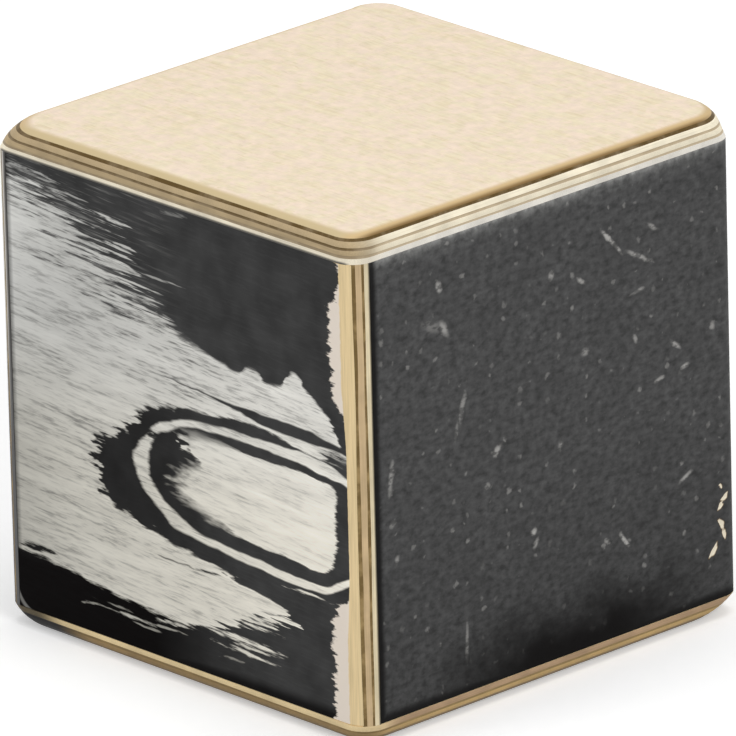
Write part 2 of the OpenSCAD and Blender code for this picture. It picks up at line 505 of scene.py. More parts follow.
def add_node(tree, kind, inputs=(), points=(), **settings):
    """Adds one shader node with its settings and a curve's points, then fills or links its inputs.

    Inputs go by name or in order, and the points of a curve run from 0 to 1 both ways.
    """
    node = tree.nodes.new("ShaderNode" + kind)
    for name, value in settings.items():
        setattr(node, name, value)
    if points:
        line = node.mapping.curves[0].points
        line[0].location, line[1].location = points[0], points[-1]
        for place, value in points[1:-1]:
            line.new(place, value)
        node.mapping.update()
    sockets = [socket for socket in node.inputs if socket.enabled]
    for key, value in (inputs if isinstance(inputs, dict) else dict(enumerate(inputs))).items():
        socket = sockets[key] if isinstance(key, int) else next(s for s in sockets if s.name == key)
        if isinstance(value, bpy.types.Node):
            value = next(output for output in value.outputs if output.enabled)
        if isinstance(value, bpy.types.NodeSocket):
            tree.links.new(value, socket)
        else:
            socket.default_value = value
    return node


def start_material(name):
    """A new node material, a call that adds nodes to it, and the place on the piece in millimetres."""
    material = bpy.data.materials.new(name)
    material.use_nodes = True
    material.node_tree.nodes.clear()
    add = partial(add_node, material.node_tree)
    place = add("VectorMath", {"Vector": add("TexCoord").outputs["Object"], "Scale": 1 / MM}, **SCALE)
    return material, add, place


def finish_material(add, shader, relief, strength, depth):
    """Ends a material with its shader, whose surface is raised and lowered by a relief."""
    bump = add("Bump", {"Strength": strength, "Distance": depth, "Height": relief})
    surface = add("BsdfPrincipled", {**shader, "Normal": bump})
    add("OutputMaterial", {"Surface": surface})


# A patch of darker colour laid on the wood: painted shade in the joints and round the front left corner's
# foot, and the backing ply's dark lower edge. It is at its full share within its near distance of its middle,
# and gone at its far one, in millimetres that are stretched on each axis
DarkPatch = namedtuple("DarkPatch", "middle stretch near far share colour")


def darkened(add, place, colour, dark_patches):
    """Covers a colour with patches of darker colour, most of them painted shade."""
    for dark_patch in dark_patches:
        off = add("VectorMath", (place, dark_patch.middle), **MINUS)
        off = add("VectorMath", (off, dark_patch.stretch), **TIMES)
        away = add("VectorMath", (off,), **LENGTH)
        share = add("MapRange", (away, dark_patch.near, dark_patch.far, dark_patch.share, 0.0), **SMOOTH)
        colour = add("Mix", (share, colour, dark_patch.colour), **COLOUR)
    return colour


def away_from_oval(add, flat, along, up, long, wide, lean):
    """How far a place lies from the middle of a leaning oval: 0 there and 1 at its edge."""
    off = add("VectorMath", (flat, (along, up, 0)), **MINUS)
    off = add("VectorRotate", {"Vector": off, "Angle": math.radians(-lean)}, rotation_type="Z_AXIS")
    off = add("VectorMath", (off, (2 / long, 2 / wide, 0)), **TIMES)
    return add("VectorMath", (off,), **LENGTH)


def birch_face(name, rims, dark_patches, colours, sizes):
    """Rotary-cut birch face veneer, sanded and left bare.

    Pale and nearly even, with faint wavy streaks and short fine pores along the grain,
    rosy clouds, and a golden cut that darkens where the rim slices across the grain.
    Each rim has the axis it faces, the tilts at which its colour starts and is full, and the colour.
    """
    material, add, place = start_material(name)
    # Pattern sizes in millimetres. Birch pores are thinner than this, and are drawn so wide that they show.
    bow_length, bow_reach = 14.0, 3.0
    along, wide = sizes.grain_length / MM, sizes.grain_width / MM
    pore_length, pore_width = 1.8, 0.16
    cloud_size, mottle_size = 3.0, 1.4

    bow = add("TexNoise", {"Vector": place, "Scale": 1 / bow_length, "Detail": 1.0})
    bow = add("VectorMath", (bow.outputs["Color"], (0, bow_reach, 0)), **TIMES)
    bowed = add("VectorMath", (place, bow), **PLUS)
    grain = add("VectorMath", (bowed, (1 / along, 1 / wide, 1 / wide)), **TIMES)
    streaks = add("TexNoise", {"Vector": grain, "Scale": 1.0, "Detail": 3.0, "Roughness": 0.55})
    streak = add("MapRange", (streaks, 0.38, 0.74, 0.0, 0.5), **SMOOTH)
    colour = add("Mix", (streak, colours["birch"], colours["birch_grain"]), **COLOUR)
    clouds = add("TexNoise", {"Vector": place, "Scale": 1 / cloud_size, "Detail": 4.0, "Roughness": 0.7})
    cloud = add("MapRange", (clouds, 0.38, 0.62, 0.0, 1.0), **SMOOTH)
    colour = add("Mix", (cloud, colour, colours["birch_blush"]), **COLOUR)
    pores = add("VectorMath", (bowed, (1 / pore_length, 1 / pore_width, 1 / pore_width)), **TIMES)
    pores = add("TexNoise", {"Vector": pores, "Scale": 1.0, "Detail": 2.0})
    pore = add("MapRange", (pores, 0.58, 0.78, 0.0, 0.4), **SMOOTH)
    colour = add("Mix", (pore, colour, colours["birch_pore"]), **COLOUR)
    mottle = add("TexNoise", {"Vector": place, "Scale": 1 / mottle_size, "Detail": 3.0, "Roughness": 0.6})
    mottle = add("MapRange", (mottle, 0.3, 0.7, 0.93, 1.05))
    colour = add("VectorMath", {"Vector": colour, "Scale": mottle}, **SCALE)

    facing = add("SeparateXYZ", (add("TexCoord").outputs["Normal"],))
    for axis, low, high, cut in rims:
        tilt = add("Math", (facing.outputs[axis],), operation="ABSOLUTE")
        share = add("MapRange", (tilt, low, high, 0.0, 1.0), **SMOOTH)
        colour = add("Mix", (share, colour, colours[cut]), **COLOUR)
    colour = darkened(add, place, colour, dark_patches)
    rough = add("MapRange", (streaks, 0.3, 0.7, 0.5, 0.62))
    relief = add("Math", (pore, -0.5, streaks), **TIMES_PLUS)
    shader = {"Base Color": colour, "Roughness": rough, "Specular IOR Level": 0.3}
    finish_material(add, shader, relief, 0.15, 0.05 * MM)
    return material


def right_side(add, place):
    """1 on the right side of the box and 0 on the others, with a soft change along from its near corner."""
    facing = add("SeparateXYZ", (add("TexCoord").outputs["Normal"],))
    turned = add("MapRange", (facing.outputs["X"], 0.1, 0.5, 0.0, 1.0))
    along = add("SeparateXYZ", (place,)).outputs["Y"]
    along = add("MapRange", (along, FRONT + 0.6, FRONT + 7.0, 0.0, 1.0), **SMOOTH)
    return add("Math", (turned, along), **TIMES)


def birch_cut(name, axis, right_cut, other_cut, dark_patches, sizes):
    """Sawn and sanded edge of an inner birch ply, whose grain runs along an axis.

    Long fine streaks where the cut runs along the grain and small dots where it crosses it,
    in one colour on the right side and in another on the other sides. For a plate's plies these are
    a lit and a shaded copy of one wood, painted for how the light falls on each side.
    """
    material, add, place = start_material(name)
    # Pattern sizes in millimetres
    streak_width, cloud_size = 0.14, 4.0

    stretch = [1 / streak_width] * 3
    stretch["XYZ".index(axis)] = MM / sizes.grain_length
    grain = add("VectorMath", (place, stretch), **TIMES)
    streaks = add("TexNoise", {"Vector": grain, "Scale": 1.0, "Detail": 3.0, "Roughness": 0.55})
    # Painted light on a plate's plies: the right side's lit colour, and the other sides' shaded one
    colour = add("Mix", (right_side(add, place), other_cut, right_cut), **COLOUR)
    clouds = add("TexNoise", {"Vector": place, "Scale": 1 / cloud_size, "Detail": 3.0})
    shade = add("MapRange", (clouds, 0.35, 0.68, 0.87, 1.08))
    fine = add("MapRange", (streaks, 0.35, 0.68, 1.06, 0.9))
    shade = add("Math", (shade, fine), **TIMES)
    colour = add("VectorMath", {"Vector": colour, "Scale": shade}, **SCALE)
    colour = darkened(add, place, colour, dark_patches)
    shader = {"Base Color": colour, "Roughness": 0.6, "Specular IOR Level": 0.25}
    finish_material(add, shader, streaks, 0.3, 0.05 * MM)
    return material


def even(share):
    """A share that is the same at every height, for a glue line's faintness and for its painted light on the
    right side.
    """
    return 0.0, 1.0, share, share


def glue_line(name, starving, faintness, right_painted_light, faint, dark_patches, colours):
    """Cured phenolic glue squeezed between two plies: a dark brown thread that is starved in places.

    The starving is how far its worst patches go toward the faint colour. The faintness, and the
    painted light that lightens the line on the right side where the light falls, both go by height, from one
    height to another and from one share to another. The painted light adds to the faintness on the right
    side.
    """
    material, add, place = start_material(name)
    patch_size = 3.0

    patches = add("TexNoise", {"Vector": place, "Scale": 1 / patch_size, "Detail": 3.0, "Roughness": 0.6})
    starved = add("MapRange", (patches, 0.42, 0.7, 0.0, starving), **SMOOTH)
    height = add("SeparateXYZ", (place,)).outputs["Z"]
    # Painted light: the line is lighter on the right side
    right = add("Math", (right_side(add, place), add("MapRange", (height, *right_painted_light))), **TIMES)
    for more in (add("MapRange", (height, *faintness)), right):
        starved = add("Math", (starved, more), **PLUS, use_clamp=True)
    colour = add("Mix", (starved, colours["glue"], colours[faint]), **COLOUR)
    colour = darkened(add, place, colour, dark_patches)
    rough = add("MapRange", (patches, 0.3, 0.7, 0.35, 0.6))
    surface = add("BsdfPrincipled", {"Base Color": colour, "Roughness": rough, "Specular IOR Level": 0.15})
    add("OutputMaterial", {"Surface": surface})
    return material


# The sanded figure of the front panel, in millimetres: place along the panel, and height.
# The outline of each loop runs round the loops' pole, from the right, below it and past its left end,
# to the right again. A loop has a tone (1 white, 0 black), a fray, how far its left end is pulled about,
# and a blur, how softly it ends there.
Loop = namedtuple("Loop", "tone fray blur outline")
LOOP_POLE = (10.0, 27.3)
# The loops are about half as high as they are wide, so heights are stretched to make them round.
# No outline then lies further from the pole than the reach.
LOOP_STRETCH = 2.0
LOOP_REACH = 60.0
BLACK_LOOP = Loop(0.0, 9.0, 0.6, (
    (60.0, 27.3), (40.0, 10.0), (24.0, 12.0), (19.6, 14.6), (17.0, 15.3), (14.0, 15.9), (10.5, 16.2),
    (9.0, 16.9), (4.0, 17.6), (1.0, 18.0), (-2.0, 18.4), (-4.5, 18.9), (-6.5, 19.6), (-10.0, 20.4),
    (-13.0, 21.3), (-14.2, 22.6), (-14.3, 24.5), (-15.0, 26.5), (-15.0, 28.0), (-13.8, 29.4),
    (-11.5, 30.3), (-9.0, 31.9), (-7.2, 33.6), (-5.5, 35.0), (-2.0, 36.0), (2.0, 36.9), (8.0, 37.2),
    (12.0, 37.6), (16.5, 37.6), (19.0, 37.1), (21.5, 36.5), (25.0, 36.3), (30.0, 36.0), (45.0, 33.0),
    (60.0, 27.3),
))
RING = Loop(1.0, 1.2, 0.4, (
    (35.0, 27.3), (33.0, 22.5), (30.0, 20.5), (28.0, 19.5), (26.3, 18.9), (24.0, 18.6), (20.0, 18.7),
    (16.0, 18.9), (12.0, 19.2), (8.0, 19.5), (4.0, 19.9), (1.0, 20.2), (-1.0, 20.6), (-2.6, 21.7),
    (-4.2, 22.8), (-6.0, 24.1), (-7.0, 25.5), (-7.6, 27.0), (-7.9, 28.0), (-7.3, 29.4), (-6.3, 30.7),
    (-5.0, 31.8), (-4.1, 32.9), (-3.3, 33.6), (-1.5, 34.1), (0.0, 34.8), (3.0, 35.5), (8.0, 35.9),
    (14.0, 36.1), (20.0, 36.2), (24.0, 36.2), (26.5, 36.0), (28.5, 35.7), (30.0, 35.1), (33.0, 32.5),
    (35.0, 27.3),
))
BLACK_RING = Loop(0.0, 1.2, 0.4, (
    (34.0, 27.3), (32.0, 23.3), (30.0, 21.5), (28.3, 20.7), (27.0, 20.0), (25.0, 19.7), (22.0, 19.7),
    (18.0, 19.9), (14.0, 20.2), (10.0, 20.4), (6.0, 20.7), (3.0, 21.0), (1.0, 21.9), (-1.0, 22.9),
    (-3.2, 24.2), (-4.3, 25.1), (-5.0, 26.5), (-5.2, 28.0), (-5.0, 29.6), (-4.2, 31.2), (-3.3, 32.3),
    (-1.2, 33.1), (0.3, 33.9), (3.0, 34.6), (8.0, 34.9), (12.0, 35.1), (16.0, 35.0), (20.0, 34.9),
    (24.0, 34.5), (28.0, 34.1), (30.0, 33.9), (32.0, 31.5), (34.0, 27.3),
))
WHITE_EYE = Loop(1.0, 9.0, 2.2, (
    (28.2, 27.3), (28.0, 24.2), (27.6, 22.8), (26.6, 21.9), (25.0, 21.5), (22.0, 21.6), (18.0, 21.9),
    (14.0, 22.0), (10.0, 22.4), (7.5, 23.2), (5.0, 23.8), (2.5, 24.3), (0.8, 25.4), (0.2, 26.8),
    (0.6, 28.0), (2.6, 29.0), (3.6, 30.0), (2.8, 31.2), (1.4, 32.2), (1.6, 33.1), (3.5, 33.6),
    (8.0, 33.7), (14.0, 33.6), (20.0, 33.6), (26.0, 33.4), (27.9, 33.0), (28.4, 32.0), (28.3, 29.5),
    (28.2, 27.3),
))

# Edges of the figure that run along the panel, as points of place and height,
# and the span of places and the top height of the curves that hold them
EDGE_SPAN = (-40.0, 40.0)
EDGE_TOP = 70.0
TOP_EDGE = (
    (-40.0, 60.0), (-30.0, 59.3), (-25.0, 58.6), (-21.0, 57.5), (-18.0, 56.0), (-15.2, 54.4),
    (-12.5, 52.8), (-9.8, 51.4), (-7.0, 50.0), (-4.2, 48.8), (-1.2, 47.6), (1.5, 46.2), (5.0, 45.2),
    (9.0, 44.2), (11.8, 43.9), (12.6, 44.6), (14.0, 44.9), (15.2, 44.6), (15.8, 43.9), (17.3, 43.7),
    (19.5, 44.2), (20.2, 45.6), (21.2, 46.2), (22.4, 45.9), (23.2, 44.8), (25.3, 43.4), (27.4, 41.7),
    (29.2, 39.2), (30.0, 38.0), (33.0, 36.0), (40.0, 36.0),
)
BOTTOM_EDGE = (
    (-40.0, 10.9), (-29.5, 10.4), (-20.0, 10.0), (-16.0, 9.3), (-8.0, 8.6), (-4.0, 8.3), (2.0, 8.3),
    (6.0, 9.4), (9.0, 10.4), (13.0, 11.2), (15.5, 12.2), (18.0, 13.4), (19.6, 14.8), (22.0, 17.0),
    (40.0, 18.0),
)
WEDGE_UPPER = (
    (-40.0, 39.0), (-6.0, 39.9), (0.0, 40.0), (4.0, 39.8), (8.0, 39.5), (12.0, 39.4), (24.0, 39.4),
    (27.0, 38.9), (30.0, 38.5), (40.0, 38.0),
)
WEDGE_LOWER = (
    (-40.0, 41.0), (-6.0, 40.1), (0.0, 39.95), (4.0, 39.6), (8.0, 39.2), (10.0, 38.9), (14.0, 38.2),
    (18.0, 38.0), (30.0, 37.9), (40.0, 37.9),
)

# Single streaks of the figure, in millimetres on the front panel:
# place along the panel, height, length, width, lean in degrees, tone (1 white, 0 black)
STREAKS = (
    (31.0, 36.2, 10.4, 2.8, -9, 0.0),
    (28.6, 36.6, 5.0, 1.2, -9, 0.0),
    (-4.6, 32.0, 5.0, 0.9, -14, 0.0),
    (23.6, 18.0, 8.0, 0.40, -1, 0.85),
    (5.5, 16.9, 6.4, 0.55, 3, 0.9),
    (-1.5, 16.1, 7.0, 0.30, -2, 0.25),
    (5.2, 16.1, 6.0, 0.45, 1, 0.0),
    (10.2, 8.8, 14.0, 0.95, -1, 1.0),
    (13.4, 8.0, 7.0, 0.40, 0, 0.8),
    (11.6, 7.25, 9.6, 0.60, -2, 0.95),
    (-9.5, 6.65, 9.0, 0.55, 1, 0.8),
    (-11.5, 7.3, 6.0, 0.35, 0, 0.45),
    (-6.0, 6.1, 7.0, 0.35, -1, 0.5),
    (-2.0, 7.7, 5.4, 0.60, 2, 0.8),
    (-3.0, 6.8, 5.0, 0.35, 0, 0.5),
    (-16.8, 6.4, 3.8, 0.45, 8, 0.45),
    (9.0, 5.8, 3.6, 0.40, 4, 0.3),
    (12.0, 10.1, 8.4, 0.55, 2, 0.0),
    (9.6, 9.5, 5.0, 0.35, 0, 0.0),
    (14.0, 11.2, 6.6, 0.50, 0, 0.9),
    (13.4, 12.1, 5.0, 0.35, 0, 0.1),
    (15.6, 12.6, 4.4, 0.45, 2, 0.9),
    (17.0, 13.7, 4.0, 0.45, 4, 0.2),
    (17.6, 14.9, 3.6, 0.40, -4, 0.9),
    (-26.4, 11.4, 6.4, 1.00, 2, 0.0),
    (-10.5, 58.35, 7.6, 0.50, -4, 1.0),
    (-26.0, 59.6, 9.0, 0.60, -1, 1.0),
    (-21.5, 58.9, 9.0, 0.45, -2, 0.05),
    (-22.5, 61.0, 7.0, 0.45, -6, 0.6),
    (-27.6, 61.3, 4.0, 0.40, 4, 0.5),
    (-8.4, 55.2, 4.6, 0.60, -6, 0.9),
    (-9.6, 52.5, 9.0, 0.70, 0, 0.85),
    (-2.4, 52.6, 8.0, 0.35, 0, 0.5),
    (-10.5, 53.5, 6.0, 0.60, 0, 0.0),
    (-8.6, 50.2, 4.2, 0.80, -4, 0.0),
    (0.2, 61.8, 5.0, 0.70, 0, 0.25),
)

# Radius to which the lower corner of a figured panel is worn, beside the seam, in millimetres
CORNER_WEAR = 3.4

# What the parts of the figure draw with: the place along the panel, the same a little frayed, the height,
# the same a little uneven, the lumps that make it so, and the noises along the grain, each about nought
Figure = namedtuple("Figure", "add x frayed z uneven lump grain")


def start_figure(add, moved, sizes):
    """The shared parts of a figure, at a place that can be moved over the panel.

    The grain dips a little to the right, and its noises pull the edges of the two coats about.
    """
    axes = add("SeparateXYZ", (moved,))
    x, z = axes.outputs["X"], axes.outputs["Z"]
    dip = math.radians(-3)
    lean = add("VectorRotate", {"Vector": moved, "Angle": dip}, rotation_type="Y_AXIS")
    grain = {}
    for kind, length, width, detail in (
            ("streaks", sizes.streak_length / MM, sizes.streak_width / MM, 3.0),
            ("teeth", 3.0, 0.8, 2.0),
            ("fibres", 2.8, 0.28, 3.0),
            ("bands", 14.0, 1.4, 3.0)):
        stretched = add("VectorMath", (lean, (1 / length, 1 / length, 1 / width)), **TIMES)
        noise = add("TexNoise", {"Vector": stretched, "Scale": 1.0, "Detail": detail, "Roughness": 0.6})
        grain[kind] = add("Math", (noise, 0.5), **MINUS)
    lump_size = 4.0
    lumps = add("TexNoise", {"Vector": moved, "Scale": 1 / lump_size, "Detail": 2.0})
    lump = add("Math", (lumps, 0.5), **MINUS)
    uneven = add("Math", (lump, 0.7, z), **TIMES_PLUS)
    frayed = add("Math", (grain["teeth"], 5.0, x), **TIMES_PLUS)
    return Figure(add, x, frayed, z, uneven, lump, grain)


def edge_height(add, at, points):
    """Height of one of the figure's long edges at a place along the panel."""
    first, last = EDGE_SPAN
    share = add("MapRange", (at, first, last, 0.0, 1.0))
    line = [((across - first) / (last - first), up / EDGE_TOP) for across, up in points]
    return add("Math", (add("FloatCurve", {"Value": share}, points=line), EDGE_TOP), **TIMES)


def loop_line(outline):
    """A loop's outline as a curve: the distance from the pole by the turn round it, both from 0 to 1."""
    line = []
    for across, up in outline:
        west, north = LOOP_POLE[0] - across, LOOP_STRETCH * (up - LOOP_POLE[1])
        turn = 0.5 + math.atan2(north, west) / (2 * math.pi)
        line.append((turn, math.hypot(west, north) / LOOP_REACH))
    # Both ends of the outline lie straight to the right of the pole
    line[0] = (0.0, line[0][1])
    line[-1] = (1.0, line[-1][1])
    return line


def lay_loop(figure, tone, loop):
    """Lays one loop's tone over what is already there."""
    add, x, grain = figure.add, figure.x, figure.grain
    fray = add("MapRange", (x, 4.0, 18.0, loop.fray, 0.7))
    frayed = add("Math", (grain["teeth"], fray, x), **TIMES_PLUS)
    west = add("Math", (LOOP_POLE[0], frayed), **MINUS)
    north = add("Math", (figure.uneven, LOOP_POLE[1]), **MINUS)
    north = add("Math", (north, LOOP_STRETCH), **TIMES)
    turn = add("Math", (north, west), operation="ARCTAN2")
    turn = add("MapRange", (turn, -math.pi, math.pi, 0.0, 1.0))
    edge = add("FloatCurve", {"Value": turn}, points=loop_line(loop.outline))
    edge = add("Math", (edge, LOOP_REACH), **TIMES)
    away = add("VectorMath", (add("CombineXYZ", (west, north, 0.0)),), **LENGTH)
    within = add("Math", (edge, away), **MINUS)
    within = add("Math", (grain["fibres"], 0.2 * loop.fray, within), **TIMES_PLUS)
    blur = add("MapRange", (x, 3.0, 12.0, loop.blur, 0.3))
    within = add("Math", (within, blur), **OVER)
    inside = add("MapRange", (within, -1.0, 1.0, 0.0, 1.0), **SMOOTH)
    return add("Mix", {"Factor": inside, "A": tone, "B": loop.tone})


def black_above(figure):
    """Black along the top, whose lower edge runs out to the left in streaks, with a tongue at the right."""
    add, x, grain = figure.add, figure.x, figure.grain
    loose = add("MapRange", (x, -9.0, 3.0, 1.0, 0.0), **SMOOTH)
    pulled = add("Math", (grain["teeth"], 10.0), **TIMES)
    pulled = add("Math", (grain["streaks"], 75.0, pulled), **TIMES_PLUS)
    at = add("Math", (pulled, loose, x), **TIMES_PLUS)
    tight = add("MapRange", (x, 18.0, 26.0, 1.2, 2.5))
    at = add("Math", (grain["teeth"], tight, at), **TIMES_PLUS)
    above = add("Math", (figure.uneven, edge_height(add, at, TOP_EDGE)), **MINUS)
    for kind, sway in (("streaks", (-24.0, -6.0, 6.0, 0.0)), ("fibres", (-4.0, 4.0, 5.0, 0.8))):
        above = add("Math", (grain[kind], add("MapRange", (x, *sway)), above), **TIMES_PLUS)
    blur = add("MapRange", (x, -10.0, 6.0, 2.2, 0.35))
    above = add("Math", (above, blur), **OVER)
    return add("MapRange", (above, -1.0, 1.0, 0.0, 1.0), **SMOOTH)


def black_below(figure):
    """Black along the bottom, whose upper edge climbs to the right in streaks."""
    add, grain = figure.add, figure.grain
    pull = add("MapRange", (figure.x, 0.0, 6.0, 3.0, 22.0))
    at = add("Math", (grain["streaks"], pull, figure.frayed), **TIMES_PLUS)
    below = add("Math", (edge_height(add, at, BOTTOM_EDGE), figure.uneven), **MINUS)
    below = add("Math", (grain["fibres"], 1.6, below), **TIMES_PLUS)
    return add("MapRange", (below, -0.3, 0.3, 0.0, 1.0), **SMOOTH)


def black_wedge(figure):
    """Thin wedge of black over the loops."""
    add = figure.add
    under = add("Math", (edge_height(add, figure.x, WEDGE_UPPER), figure.uneven), **MINUS)
    over = add("Math", (figure.uneven, edge_height(add, figure.frayed, WEDGE_LOWER)), **MINUS)
    within = add("Math", (under, over), **SMALLER)
    return add("MapRange", (within, -0.15, 0.12, 0.0, 1.0), **SMOOTH)


def figure_tone(figure):
    """The figure's tone: 1 where the white coat shows and 0 where the black one does."""
    add, x, grain = figure.add, figure.x, figure.grain
    tone = lay_loop(figure, 1.0, BLACK_LOOP)
    for black in (black_above(figure), black_below(figure), black_wedge(figure)):
        tone = add("Mix", {"Factor": black, "A": tone, "B": 0.0})
    for loop in (RING, BLACK_RING, WHITE_EYE):
        tone = lay_loop(figure, tone, loop)

    # Single streaks, drawn out along the grain and frayed at their ends
    drawn_out = add("Math", (grain["teeth"], 7.0, x), **TIMES_PLUS)
    flat = add("CombineXYZ", (drawn_out, figure.uneven, 0.0))
    for *oval, streak_tone in STREAKS:
        away = add("Math", (grain["fibres"], 2.4, away_from_oval(add, flat, *oval)), **TIMES_PLUS)
        inside = add("MapRange", (away, 0.35, 1.15, 1.0, 0.0), **SMOOTH)
        tone = add("Mix", {"Factor": inside, "A": tone, "B": streak_tone})

    # Grey ghosts of white in the black at the upper left, where it is rubbed thin
    ghost = add("MapRange", (grain["streaks"], 0.02, 0.2, 0.0, 0.3), **SMOOTH)
    for value, start, end in ((x, 2.0, -14.0), (figure.z, 44.0, 50.0)):
        ghost = add("Math", (ghost, add("MapRange", (value, start, end, 0.0, 1.0))), **TIMES)
    return add("Math", (tone, ghost), **LARGER)


def white_paint(figure, height, thin, colours):
    """The white coat: painted grey at the left and full white at the right, for light that falls off toward
    the left, and tinted by the wood low down.

    It is rubbed along the grain in dashes and wide bands, more so toward the black at the upper left.
    """
    add, x, bands = figure.add, figure.x, figure.grain["bands"]
    # Painted light: grey at the left, where the light falls off, to full white at the right
    rightward = add("MapRange", (x, -30.0, 24.0, 0.0, 1.0))
    white = add("Mix", (rightward, colours["grey_coat_and_shade"], colours["white_coat"]), **COLOUR)
    low_down = add("MapRange", (height, 46.0, 22.0, 0.0, 1.0), **SMOOTH)
    white = add("Mix", (low_down, white, colours["wood_tint"]), **COLOUR, blend_type="MULTIPLY")
    patchy = add("MapRange", (bands, -0.14, 0.16, 0.15, 0.75))
    patchy = add("Math", (patchy, add("MapRange", (x, 0.0, 16.0, 1.0, 0.5))), **TIMES)
    near_black = add("Math", (figure.uneven, edge_height(add, x, TOP_EDGE)), **MINUS)
    near_black = add("MapRange", (near_black, -14.0, 0.0, 0.0, 0.35))
    near_black = add("Math", (near_black, add("MapRange", (x, -30.0, -16.0, 0.0, 1.0))), **TIMES)
    worn = add("Math", (patchy, near_black), **PLUS)
    worn = add("Math", (thin, worn), **TIMES, use_clamp=True)
    white = add("Mix", (worn, white, colours["worn_coat"]), **COLOUR)
    # Painted light and shade: lighter up the left edge and darker down it; then the bands vary it along the
    # grain, it is darkened toward the top, and it is lightened toward the right
    leftmost = add("MapRange", (x, -30.0, -18.0, 1.0, 0.0))
    lift = add("MapRange", (height, 26.0, 54.0, -0.16, 0.35))
    shade = add("Math", (leftmost, lift, 1.0), **TIMES_PLUS)
    for value, shares in (
            (bands, (-0.2, 0.2, 1.1, 0.88)), (height, (30.0, 46.0, 1.0, 0.88)), (x, (-4.0, 16.0, 1.0, 1.07))):
        shade = add("Math", (shade, add("MapRange", (value, *shares))), **TIMES)
    return add("VectorMath", {"Vector": white, "Scale": shade}, **SCALE)


def black_paint(figure, height, thin, colours):
    """The black coat: rubbed a little, with painted shade that makes it near-black at the left, from half way
    down and along the bottom.
    """
    add = figure.add
    rubbed = add("MapRange", (figure.lump, -0.2, 0.2, 0.0, 0.3))
    rubbed = add("Math", (thin, 0.12, rubbed), **TIMES_PLUS)
    black = add("Mix", (rubbed, colours["black_coat"], colours["charcoal"]), **COLOUR)
    # Painted shade: near-black from half way down and along the bottom, at the left, and at the very foot
    half_down = add("MapRange", (height, 44.0, 33.0, 0.0, 0.6), **SMOOTH)
    lowest = add("MapRange", (height, 14.0, 8.0, 0.0, 0.45), **SMOOTH)
    leftward = add("MapRange", (figure.x, 16.0, -8.0, 0.0, 1.0), **SMOOTH)
    deep_shade = add("Math", (half_down, lowest), **PLUS)
    deep_shade = add("Math", (deep_shade, leftward), **TIMES)
    foot_edge = add("MapRange", (height, FOOT + 2.2, FOOT + 0.4, 0.0, 0.9), **SMOOTH)
    deep_shade = add("Math", (deep_shade, foot_edge), **LARGER)
    return add("Mix", (deep_shade, black, colours["shade_black"]), **COLOUR)


def white_ground(add, axes, rag):
    """1 in a ragged strip of white ground beside the sanded corner, above and below the loops."""
    height = axes.outputs["Z"]
    upper = add("MapRange", (height, 41.0, 45.2, 31.2, 28.0), **SMOOTH)
    upper_end = add("MapRange", (height, 56.5, 60.0, 0.0, 2.0), **SMOOTH)
    lower = add("MapRange", (height, 15.5, 21.2, 27.4, 31.2), **SMOOTH)
    start = add("Math", (upper, upper_end), **PLUS)
    start = add("Math", (start, lower), **SMALLER)
    start = add("Math", (rag, 4.0, start), **TIMES_PLUS)
    past = add("Math", (axes.outputs["X"], start), **MINUS)
    return add("MapRange", (past, -0.2, 0.3, 0.0, 1.0), **SMOOTH)


def seam_shade_and_worn_corner(add, axes, colour, colours):
    """Painted shade in the seam where the panel butts against its neighbour, and round its lower corner a
    worn band with painted shadow beyond it.
    """
    x, height = axes.outputs["X"], axes.outputs["Z"]
    # Painted shade in the seam
    seam = add("MapRange", (x, BUTT - 0.2, BUTT + 0.9, 0.95, 0.0))
    colour = add("Mix", (seam, colour, colours["shade_black"]), **COLOUR)
    sides = []
    for edge, value in ((BUTT, x), (FOOT, height)):
        short = add("Math", (edge + CORNER_WEAR, value), **MINUS)
        sides.append(add("Math", (short, 0.0), **LARGER))
    away = add("VectorMath", (add("CombineXYZ", (*sides, 0.0)),), **LENGTH)
    # A worn grey band round the corner, then painted shadow where the corner rounds under
    for start, end, tint in ((0.0, 0.3, "worn_coat"), (0.5, 0.9, "shade_black")):
        band = add("MapRange", (away, CORNER_WEAR + start, CORNER_WEAR + end, 0.0, 1.0), **SMOOTH)
        colour = add("Mix", (band, colour, colours[tint]), **COLOUR)
    return colour


def bare_corner(add, place, axes, rag, colour, colours, sizes):
    """Bare birch where the corner's rounding goes below the coat."""
    height = axes.outputs["Z"]
    streak_width = 0.25
    bend = (BOX_W / 2 - sizes.corner_radius) / MM
    coat = sizes.coat_depth / MM

    ply = add("VectorMath", (place, (1 / streak_width, 1 / streak_width, MM / sizes.grain_length)), **TIMES)
    ply = add("TexNoise", {"Vector": ply, "Scale": 1.0, "Detail": 3.0})
    ply = add("MapRange", (ply, 0.35, 0.75, 0.0, 0.6))
    bare = add("Mix", (ply, colours["bare_birch"], colours["side_grain"]), **COLOUR)
    depth = add("Math", (axes.outputs["Y"], FRONT), **MINUS)
    depth = add("Math", (rag, coat, depth), **TIMES_PLUS)
    # The coat reaches further round the corner beside the loops
    kept = [add("MapRange", (height, start, end, 0.0, 0.1)) for start, end in ((14.0, 22.0), (46.0, 38.0))]
    depth = add("Math", (depth, add("Math", kept, **SMALLER)), **MINUS)
    sanded = add("MapRange", (depth, 0.3 * coat, 0.9 * coat, 0.0, 1.0), **SMOOTH)
    onward = add("MapRange", (axes.outputs["X"], bend - 0.6, bend, 0.0, 1.0))
    sanded = add("Math", (sanded, onward), **TIMES)
    return add("Mix", (sanded, colour, bare), **COLOUR)


